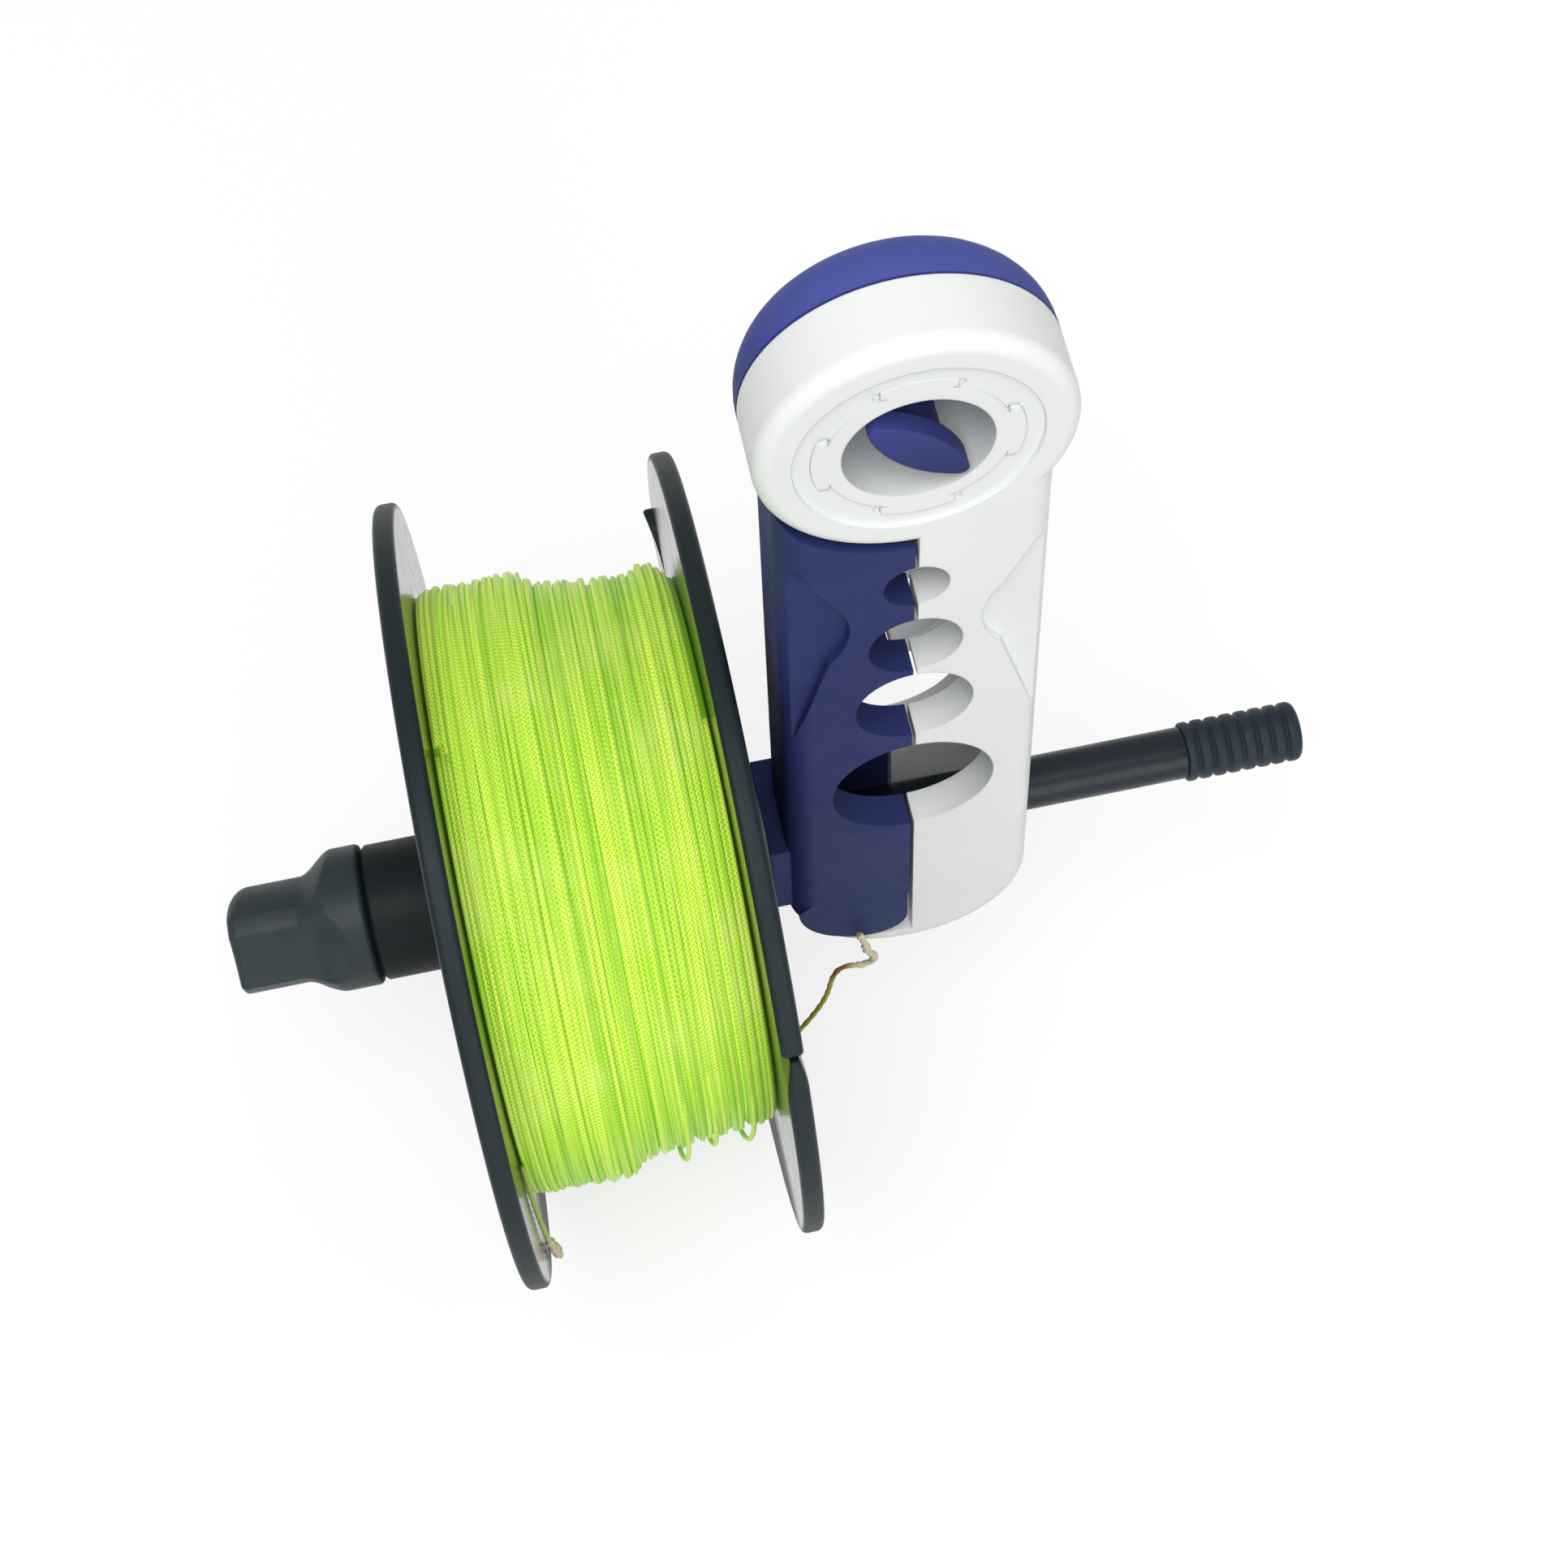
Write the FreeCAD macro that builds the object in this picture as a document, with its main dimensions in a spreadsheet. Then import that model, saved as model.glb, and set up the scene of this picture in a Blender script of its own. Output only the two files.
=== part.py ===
import FreeCAD, Part
import math
import os

import Sketcher
from FreeCAD import Vector

# Fishing line winder: two hinged jaws clip over a rod, a spindle through them carries a spool of line, and a
# sprung cup and a lobed knob set how hard the spool turns.
# Frame: the seam of the closed jaws is the plane x = 0, the mid-plane of the clamp is y = 0, and z is up along the
# jaws. The origin is the centre of the middle rod notch; every rod notch is bored along Y.

SIZES = {
    # clamp shells
    "body_thick": 16.0,
    "plate_thick": 4.0,
    "wall_thick": 2.4,
    "seam_gap": 0.4,
    "neck_half": 13.8,
    "neck_below": 13.7,
    "foot_half": 14.8,
    "front_round": 3.0,
    "back_round": 6.0,
    "cavity_web": 0.8,
    # rod notches, from the small one below the head to the large one for a rod butt
    "notch_small": 3.4,
    "notch_middle": 5.0,
    "notch_large": 6.45,
    "notch_butt": 9.3,
    "web_small": 2.9,
    "web_middle": 0.9,
    "web_large": 2.4,
    # head, where the two jaws turn on each other
    "pivot_height": 34.4,
    "head_radius": 15.6,
    "head_clearance": 0.5,
    "front_disc_thick": 7.9,
    "disc_gap": 0.3,
    "disc_front_round": 1.6,
    "head_back_round": 7.0,
    "recess_radius": 12.0,
    "recess_depth": 0.4,
    "sleeve_radius": 8.3,
    "sleeve_bore": 7.3,
    "sleeve_reach": 5.2,
    "sleeve_lip": 0.5,
    "ring_radius": 9.0,
    "ring_thick": 0.8,
    "tab_radius": 10.2,
    "tab_width": 7.2,
    "dimple_ring": 9.6,
    "dimple_radius": 0.55,
    "dimple_depth": 0.3,
    "dimple_angle": 23.0,
    "post_length": 14.4,
    "post_width": 4.5,
    "post_proud": 0.05,
    "post_head": 2.2,
    "post_tip_round": 0.9,
    "post_neck_length": 8.6,
    "post_neck_width": 2.8,
    "spring_coil": 11.4,
    "spring_wire": 1.2,
    "spring_pitch": 1.35,
    # lower end of the jaws
    "corner_below": 7.2,
    "tip_corner": 9.5,
    "tip_inset": 0.8,
    "tip_thick": 1.8,
    "tip_round": 4.0,
    "end_below": 6.6,
    "end_gap": 0.6,
    # finger scoops on the front
    "scoop_depth": 0.9,
    "scoop_inset": 5.4,
    "scoop_above": 6.7,
    "scoop_rise": 12.0,
    "scoop_fall": 24.0,
    "scoop_step": 2.0,
    # spindle and what sits on it
    "spindle_drop": 51.3,
    "spindle_radius": 3.2,
    "spindle_reach": 49.4,
    # the spindle reaches spindle_tail beyond the knob's face
    "spindle_tail": 13.7,
    "thread_radius": 3.0,
    "thread_length": 20.0,
    "grip_radius": 3.65,
    "grip_length": 13.7,
    "grip_cap": 0.6,
    "grip_rib": 0.45,
    "boss_reach": 16.6,
    "boss_half_width": 6.4,
    "boss_half_height": 7.1,
    "bush_radius": 4.5,
    "bush_flange": 5.8,
    "bush_flange_thick": 0.8,
    "clip_radius": 3.8,
    "clip_thick": 0.8,
    "clip_groove": 0.5,
    "washer_radius": 6.0,
    "washer_thick": 0.8,
    "slot_half": 4.2,
    "slot_above": 4.3,
    "slot_below": 18.6,
    "slot_depth": 8.2,
    # spool
    # the right flange lies flange_offset beyond the end of the clamp's boss
    "flange_offset": 2.4,
    "flange_radius": 47.5,
    "flange_thick": 2.5,
    "flange_web": 2.0,
    "flange_rim": 2.4,
    "spool_width": 30.3,
    "seat_radius": 10.2,
    "core_radius": 17.5,
    "core_wall": 2.0,
    "line_left": 36.5,
    "line_right": 33.9,
    "line_gap": 0.05,
    "slit_width": 0.9,
    "slit_length": 5.0,
    "slit_mouth": 1.3,
    "slit_lead": 3.8,
    "slit_angle": 18.0,
    "line_radius": 0.25,
    # cones, cup and knob
    "cone_length": 5.0,
    "cup_radius": 8.2,
    "cup_length": 9.7,
    "cup_wall": 1.6,
    "cup_floor": 2.0,
    "drag_coil": 5.0,
    "drag_wire": 1.0,
    "slip_washer_radius": 6.3,
    "slip_washer_thick": 0.8,
    "slip_washer_depth": 0.6,
    "knob_length": 16.4,
    "knob_base_radius": 8.55,
    "knob_base_length": 4.6,
    "knob_grip_radius": 7.4,
    "knob_scoop_radius": 7.0,
    "knob_scoop_depth": 2.6,
    "knob_round": 1.2,
    "insert_radius": 4.6,
    "insert_length": 8.0,
    # fits
    "running_fit": 0.05,
    "face_gap": 0.1,
    "press_gap": 0.02,
}

class Size:
    """A length in mm that keeps the spreadsheet expression it came from."""

    def __init__(self, value, text):
        self.value = float(value)
        self.text = text

    @staticmethod
    def of(other):
        if isinstance(other, Size):
            return other
        return Size(other, repr(float(other)))

    def __add__(self, other):
        other = Size.of(other)
        return Size(self.value + other.value, f"({self.text} + {other.text})")

    def __radd__(self, other):
        return Size.of(other) + self

    def __sub__(self, other):
        other = Size.of(other)
        return Size(self.value - other.value, f"({self.text} - {other.text})")

    def __rsub__(self, other):
        return Size.of(other) - self

    def __mul__(self, other):
        other = Size.of(other)
        return Size(self.value * other.value, f"({self.text} * {other.text})")

    def __rmul__(self, other):
        return Size.of(other) * self

    def __truediv__(self, other):
        other = Size.of(other)
        return Size(self.value / other.value, f"({self.text} / {other.text})")

    def __neg__(self):
        return Size(-self.value, f"(0 - {self.text})")


def root(size):
    """Square root of a size."""
    size = Size.of(size)
    return Size(math.sqrt(size.value), f"sqrt({size.text})")


doc = FreeCAD.newDocument("line_winder")
sheet = doc.addObject("Spreadsheet::Sheet", "Sizes")
for row, (alias, number) in enumerate(SIZES.items(), start=1):
    sheet.set(f"A{row}", alias)
    sheet.set(f"B{row}", str(number))
    sheet.setAlias(f"B{row}", alias)
doc.recompute()


class Sizes:
    """Gives each alias of the sheet as a Size."""

    def __getattr__(self, alias):
        return Size(SIZES[alias], f"Sizes.{alias}")


s = Sizes()

# Places that several pieces share.
half_thick = s.body_thick / 2
half_gap = s.seam_gap / 2
inner_half = half_thick - s.plate_thick
disc_front = -half_thick
split = disc_front + s.front_disc_thick
back_disc_face = split + s.disc_gap / 2
front_disc_back = split - s.disc_gap / 2
clear_radius = s.head_radius + s.head_clearance
recess_face = disc_front + s.recess_depth
cavity_top = s.pivot_height - clear_radius - s.cavity_web
neck_height = s.pivot_height - s.neck_below
notch_places = {
    "small": s.notch_middle + s.web_small + s.notch_small,
    "middle": Size.of(0.0),
    "large": -(s.notch_middle + s.web_middle + s.notch_large),
    "butt": -(s.notch_middle + s.web_middle + s.notch_large * 2 + s.web_large + s.notch_butt),
}
notch_radii = {
    "small": s.notch_small,
    "middle": s.notch_middle,
    "large": s.notch_large,
    "butt": s.notch_butt,
}
corner_drop = s.spindle_drop + s.corner_below
end_drop = s.spindle_drop + s.end_below
tip_bottom = corner_drop + s.tip_corner
sweep_radius = s.pivot_height + tip_bottom + s.end_gap
flange_outer_right = -(s.boss_reach + s.flange_offset)
flange_inner_right = flange_outer_right - s.flange_thick
flange_inner_left = flange_inner_right - s.spool_width
web_outer_left = flange_inner_left - s.flange_web
washer_face = -(s.boss_reach + s.washer_thick)
cone_face = washer_face - s.face_gap
cup_end = flange_inner_left - s.flange_thick - s.cup_length
knob_face = cup_end - s.face_gap * 3
spindle_end = knob_face - s.spindle_tail
bush_inner = -(s.foot_half - s.wall_thick)
COS45 = math.sqrt(0.5)
POST_LEAN = 44.0


def bind(target, prop, size):
    """Drives one property of a feature from the sheet."""
    target.setExpression(prop, Size.of(size).text)


def new_body(name):
    body = doc.addObject("PartDesign::Body", name)
    body.Label = name
    return body


def origin_plane(body, role):
    for feature in body.Origin.OriginFeatures:
        if feature.Role == role:
            return feature
    raise LookupError(role)


def new_sketch(body, name, plane="XZ_Plane", offset=None):
    """Sketch on an origin plane of the body, moved along the plane's normal by offset."""
    sketch = body.newObject("Sketcher::SketchObject", name)
    sketch.AttachmentSupport = [(origin_plane(body, plane), "")]
    sketch.MapMode = "FlatFace"
    if offset is not None:
        bind(sketch, "AttachmentOffset.Base.z", offset)
    return sketch


def pin_point(sketch, geometry, position, place):
    """Ties a point of the sketch to the sizes of its two coordinates."""
    x, y = Size.of(place[0]), Size.of(place[1])
    if abs(x.value) < 1e-9:
        sketch.addConstraint(Sketcher.Constraint("PointOnObject", geometry, position, -2))
    else:
        index = sketch.addConstraint(
            Sketcher.Constraint("DistanceX", -1, 1, geometry, position, x.value)
        )
        bind(sketch, f"Constraints[{index}]", x)
    if abs(y.value) < 1e-9:
        sketch.addConstraint(Sketcher.Constraint("PointOnObject", geometry, position, -1))
    else:
        index = sketch.addConstraint(
            Sketcher.Constraint("DistanceY", -1, 1, geometry, position, y.value)
        )
        bind(sketch, f"Constraints[{index}]", y)


def pin_radius(sketch, geometry, radius):
    index = sketch.addConstraint(Sketcher.Constraint("Radius", geometry, radius.value))
    bind(sketch, f"Constraints[{index}]", radius)


def draw_circle(sketch, x, y, radius):
    x, y, radius = Size.of(x), Size.of(y), Size.of(radius)
    centre = Vector(x.value, y.value, 0)
    geometry = sketch.addGeometry(Part.Circle(centre, Vector(0, 0, 1), radius.value))
    pin_point(sketch, geometry, 3, (x, y))
    pin_radius(sketch, geometry, radius)


def draw_loop(sketch, corners):
    """Closed outline. A corner is (x, y), reached by a line, or (x, y, radius, turn), reached by an arc whose
    turn is 1 for counter-clockwise and -1 for clockwise."""
    count = len(corners)
    places = [Vector(Size.of(c[0]).value, Size.of(c[1]).value, 0) for c in corners]
    ends = []
    for index in range(count):
        start = places[index]
        target = corners[(index + 1) % count]
        stop = places[(index + 1) % count]
        if len(target) == 2:
            geometry = sketch.addGeometry(Part.LineSegment(start, stop))
            ends.append((geometry, 1, 2))
            continue
        radius, turn = Size.of(target[2]), target[3]
        chord = stop - start
        rise = math.sqrt(max(radius.value**2 - (chord.Length / 2) ** 2, 0.0))
        side = Vector(-chord.y, chord.x, 0).normalize()
        centre = (start + stop) * 0.5 + side * (rise * turn)
        first, last = (start, stop) if turn > 0 else (stop, start)
        angles = [math.atan2(p.y - centre.y, p.x - centre.x) for p in (first, last)]
        if angles[1] <= angles[0]:
            angles[1] += 2 * math.pi
        circle = Part.Circle(centre, Vector(0, 0, 1), radius.value)
        geometry = sketch.addGeometry(Part.ArcOfCircle(circle, angles[0], angles[1]))
        pin_radius(sketch, geometry, radius)
        ends.append((geometry, 1, 2) if turn > 0 else (geometry, 2, 1))
    for index in range(count):
        geometry, head, tail = ends[index]
        following, next_head, _ = ends[(index + 1) % count]
        sketch.addConstraint(Sketcher.Constraint("Coincident", geometry, tail, following, next_head))
    for index in range(count):
        geometry, head, _ = ends[index]
        pin_point(sketch, geometry, head, corners[index])


def pad(body, sketch, name, length, symmetric=False, flipped=False):
    feature = body.newObject("PartDesign::Pad", name)
    feature.Profile = sketch
    bind(feature, "Length", length)
    feature.SideType = "Symmetric" if symmetric else "One side"
    feature.Reversed = flipped
    return feature


def pocket(body, sketch, name, length, symmetric=False, flipped=False):
    """Cut that must take something away from the body."""
    doc.recompute()
    before = body.Shape.Volume
    feature = body.newObject("PartDesign::Pocket", name)
    feature.Profile = sketch
    bind(feature, "Length", length)
    feature.SideType = "Symmetric" if symmetric else "One side"
    feature.Reversed = flipped
    doc.recompute()
    if not body.Shape.Volume < before - 1e-6:
        raise RuntimeError(f"{name} of {body.Label} cuts nothing")
    return feature


def revolve(body, sketch, name, axis="H_Axis", cut=False):
    before = 0.0
    if cut:
        doc.recompute()
        before = body.Shape.Volume
    kind = "PartDesign::Groove" if cut else "PartDesign::Revolution"
    feature = body.newObject(kind, name)
    feature.Profile = sketch
    feature.ReferenceAxis = (sketch, [axis])
    feature.Angle = 360.0
    doc.recompute()
    if cut and not body.Shape.Volume < before - 1e-6:
        raise RuntimeError(f"{name} of {body.Label} cuts nothing")
    return feature


def round_edges(body, feature, name, radius, wanted):
    """Fillets the edges of the feature for which wanted(edge) holds."""
    doc.recompute()
    edges = feature.Shape.Edges
    names = [f"Edge{i}" for i, edge in enumerate(edges, start=1) if wanted(edge)]
    if not names:
        raise RuntimeError(f"{name} of {body.Label} finds no edge")
    fillet = body.newObject("PartDesign::Fillet", name)
    fillet.Base = (feature, names)
    bind(fillet, "Radius", radius)
    doc.recompute()
    return fillet


def polar(body, feature, name, sketch, axis, count):
    pattern = body.newObject("PartDesign::PolarPattern", name)
    pattern.Originals = [feature]
    pattern.Axis = (sketch, [axis])
    pattern.Angle = 360.0
    pattern.Occurrences = count
    body.Tip = pattern
    doc.recompute()
    return pattern


def on_spindle(body):
    """Puts a piece that was revolved about X on the axis of the spindle."""
    bind(body, "Placement.Base.z", -s.spindle_drop)
    return body


def turned(name, profile):
    """Piece turned about the spindle from a half section of (x, radius) corners."""
    body = new_body(name)
    sketch = new_sketch(body, f"{name}_profile", "XY_Plane")
    draw_loop(sketch, profile)
    revolve(body, sketch, f"{name}_turning")
    return on_spindle(body)


def cut_notches(body):
    """Half-round saddles for rods of four thicknesses, through both plates."""
    for label, height in notch_places.items():
        sketch = new_sketch(body, f"{body.Label}_notch_{label}")
        draw_circle(sketch, 0.0, height, notch_radii[label])
        pocket(body, sketch, f"{body.Label}_saddle_{label}", s.body_thick * 2, symmetric=True)


def cut_scoop(body, side, drop):
    """Shallow finger scoop along the outer edge of the front plate."""
    top = s.scoop_above - drop
    edge = (s.foot_half + 2) * side
    crest = (s.neck_half - s.scoop_inset) * side
    shoulder = (s.neck_half - s.scoop_step) * side
    sketch = new_sketch(body, f"{body.Label}_scoop", offset=half_thick)
    turn = 1 if side > 0 else -1
    arc = s.scoop_rise * 0.72
    draw_loop(
        sketch,
        [
            (edge, top + s.scoop_rise),
            (shoulder, top + s.scoop_rise * 0.88),
            (crest + 0.5 * side, top + s.scoop_rise * 0.34),
            (crest + 0.75 * side, top - s.scoop_fall * 0.3, arc, turn),
            (shoulder + 1.4 * side, top - s.scoop_fall * 0.92),
            (edge, top - s.scoop_fall),
        ],
    )
    pocket(body, sketch, f"{body.Label}_grip", s.scoop_depth)


def head_disc(body, profile):
    sketch = new_sketch(body, f"{body.Label}_disc_profile", "XY_Plane", offset=s.pivot_height)
    draw_loop(sketch, profile)
    revolve(body, sketch, f"{body.Label}_disc", axis="V_Axis")
    return sketch


def is_outer(side, face, limit):
    """Selects the long edges of a shell on one face, beyond limit from the seam."""

    def wanted(edge):
        middle = edge.CenterOfMass
        return abs(middle.y - face) < 1e-3 and middle.x * side > limit

    return wanted


def draw_lens(sketch, half_long, half_wide):
    """Lens of two equal arcs about the pivot, leaning from upper left to lower right; returns its tip."""
    lean = math.radians(POST_LEAN)
    lean_x = half_long * math.cos(lean)
    lean_z = half_long * math.sin(lean)
    bow = (half_long * half_long + half_wide * half_wide) / (half_wide * 2)
    draw_loop(
        sketch,
        [
            (-lean_x, s.pivot_height + lean_z, bow, 1),
            (lean_x, s.pivot_height - lean_z, bow, 1),
        ],
    )
    return lean_x, lean_z


def make_blue_jaw():
    """Jaw that stays on the rod: C-shaped shell, rear head disc, lens-shaped post and spindle boss."""
    body = new_body("blue_jaw")
    parting_x = -(s.foot_half - s.tip_corner * (1 - COS45))
    parting_z = -(corner_drop + s.tip_corner * COS45)
    outline = new_sketch(body, "blue_outline")
    draw_loop(
        outline,
        [
            (-half_gap, s.pivot_height),
            (-s.neck_half, s.pivot_height),
            (-s.neck_half, neck_height),
            (-s.foot_half, -corner_drop),
            (parting_x, parting_z, s.tip_corner, 1),
            (-half_gap, -corner_drop + 0.2),
        ],
    )
    pad(body, outline, "blue_shell", s.body_thick, symmetric=True)

    # hollow between the plates, open at the seam and at the lower end
    inner_corner = s.tip_corner - s.wall_thick
    corner_x = -(s.foot_half - s.tip_corner)
    cavity = new_sketch(body, "blue_cavity")
    draw_loop(
        cavity,
        [
            (half_gap * 4, cavity_top),
            (-(s.neck_half - s.wall_thick), cavity_top),
            (-(s.neck_half - s.wall_thick), notch_places["small"]),
            (-(s.foot_half - s.wall_thick), -corner_drop),
            (corner_x - inner_corner * COS45, -(corner_drop + inner_corner * COS45), inner_corner, 1),
            (corner_x, -(tip_bottom + 2)),
            (half_gap * 4, -(tip_bottom + 2)),
        ],
    )
    pocket(body, cavity, "blue_hollow", inner_half * 2, symmetric=True)
    cut_notches(body)
    limit = s.neck_half.value - 0.9
    front = is_outer(-1, -half_thick.value, limit)
    shell = round_edges(body, body.Tip, "blue_front_edge", s.front_round, front)
    back = is_outer(-1, half_thick.value, limit)
    round_edges(body, shell, "blue_back_edge", s.back_round, back)
    cut_scoop(body, -1, 0.0)

    # front half makes room for the other jaw's disc
    room = new_sketch(body, "blue_disc_room", offset=half_thick)
    draw_circle(room, 0.0, s.pivot_height, clear_radius)
    pocket(body, room, "blue_disc_clearance", s.front_disc_thick + s.disc_gap / 2)
    head_disc(
        body,
        [
            (0.0, back_disc_face),
            (s.head_radius, back_disc_face),
            (s.head_radius, half_thick - s.head_back_round),
            (s.head_radius - s.head_back_round, half_thick, s.head_back_round, 1),
            (0.0, half_thick),
        ],
    )

    # thin plate that closes over the other jaw's end
    tip = new_sketch(body, "blue_tip", offset=half_thick)
    tip_left = -(s.foot_half - s.tip_inset)
    tip_arc = s.tip_corner - s.tip_inset
    tip_right = -half_gap - 0.2
    draw_loop(
        tip,
        [
            (tip_right, -corner_drop + 3),
            (tip_left + s.front_round, -corner_drop + 3),
            (tip_left, -corner_drop),
            (tip_left + tip_arc, -tip_bottom, tip_arc + s.tip_inset, 1),
            (tip_right - s.tip_round, -tip_bottom),
            (tip_right, -tip_bottom + s.tip_round, s.tip_round, 1),
        ],
    )
    pad(body, tip, "blue_tip_plate", s.tip_thick, flipped=True)

    # bore for the sleeve, groove for its lip, and the room of the closing spring
    bore = s.sleeve_radius + s.running_fit
    sleeve_end = split + s.sleeve_reach
    lip_floor = sleeve_end + s.face_gap
    bore_sketch = new_sketch(body, "blue_bore", "XY_Plane", offset=s.pivot_height)
    lip_bore = s.sleeve_radius + s.sleeve_lip + s.running_fit
    draw_loop(
        bore_sketch,
        [
            (0.0, split - 1),
            (bore, split - 1),
            (bore, lip_floor - 1.5),
            (lip_bore, lip_floor - 1.5),
            (lip_bore, lip_floor),
            (0.0, lip_floor),
        ],
    )
    revolve(body, bore_sketch, "blue_sleeve_bore", axis="V_Axis", cut=True)
    room_sketch = new_sketch(body, "blue_spring_room", "XY_Plane", offset=s.pivot_height)
    spring_inner = s.spring_coil - s.spring_wire
    spring_outer = s.spring_coil + s.spring_wire
    spring_floor = back_disc_face + s.spring_pitch * 2 + s.spring_wire + s.face_gap * 2
    draw_loop(
        room_sketch,
        [
            (spring_inner, split - 1),
            (spring_outer, split - 1),
            (spring_outer, spring_floor),
            (spring_inner, spring_floor),
        ],
    )
    revolve(body, room_sketch, "blue_spring_pocket", axis="V_Axis", cut=True)

    # post that shows in the middle of the head: a lens with rounded tips on a narrower neck
    post_face = half_thick + s.post_proud
    post_end = lip_floor + 0.5
    head = new_sketch(body, "blue_post_outline", offset=post_face)
    tip_x, tip_z = draw_lens(head, s.post_length / 2, s.post_width / 2)
    head_pad = pad(body, head, "blue_post", s.post_head, flipped=True)
    neck = new_sketch(body, "blue_post_neck_outline", offset=post_face - s.post_head / 2)
    draw_lens(neck, s.post_neck_length / 2, s.post_neck_width / 2)

    def at_tip(edge):
        middle = edge.CenterOfMass
        across = abs(abs(middle.x) - tip_x.value)
        up = abs(abs(middle.z - s.pivot_height.value) - tip_z.value)
        return across < 1e-3 and up < 1e-3

    round_edges(body, head_pad, "blue_post_tips", s.post_tip_round, at_tip)
    pad(body, neck, "blue_post_neck", post_face - s.post_head / 2 + post_end, flipped=True)

    # square boss that carries the spindle
    boss = new_sketch(body, "blue_boss_outline", "YZ_Plane", offset=-s.boss_reach)
    draw_loop(
        boss,
        [
            (-s.boss_half_width, -(s.spindle_drop + s.boss_half_height)),
            (s.boss_half_width, -(s.spindle_drop + s.boss_half_height)),
            (s.boss_half_width, -(s.spindle_drop - s.boss_half_height)),
            (-s.boss_half_width, -(s.spindle_drop - s.boss_half_height)),
        ],
    )
    pad(body, boss, "blue_boss", s.boss_reach - s.foot_half + s.wall_thick)
    bush_room = new_sketch(body, "blue_bush_bore", "XY_Plane", offset=-s.spindle_drop)
    flange_room = -(s.boss_reach - s.bush_flange_thick)
    draw_loop(
        bush_room,
        [
            (-s.boss_reach - 1, 0.0),
            (-s.boss_reach - 1, s.bush_flange + s.press_gap),
            (flange_room, s.bush_flange + s.press_gap),
            (flange_room, s.bush_radius + s.press_gap),
            (bush_inner + 1, s.bush_radius + s.press_gap),
            (bush_inner + 1, 0.0),
        ],
    )
    revolve(body, bush_room, "blue_bush_seat", cut=True)
    return body


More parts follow.
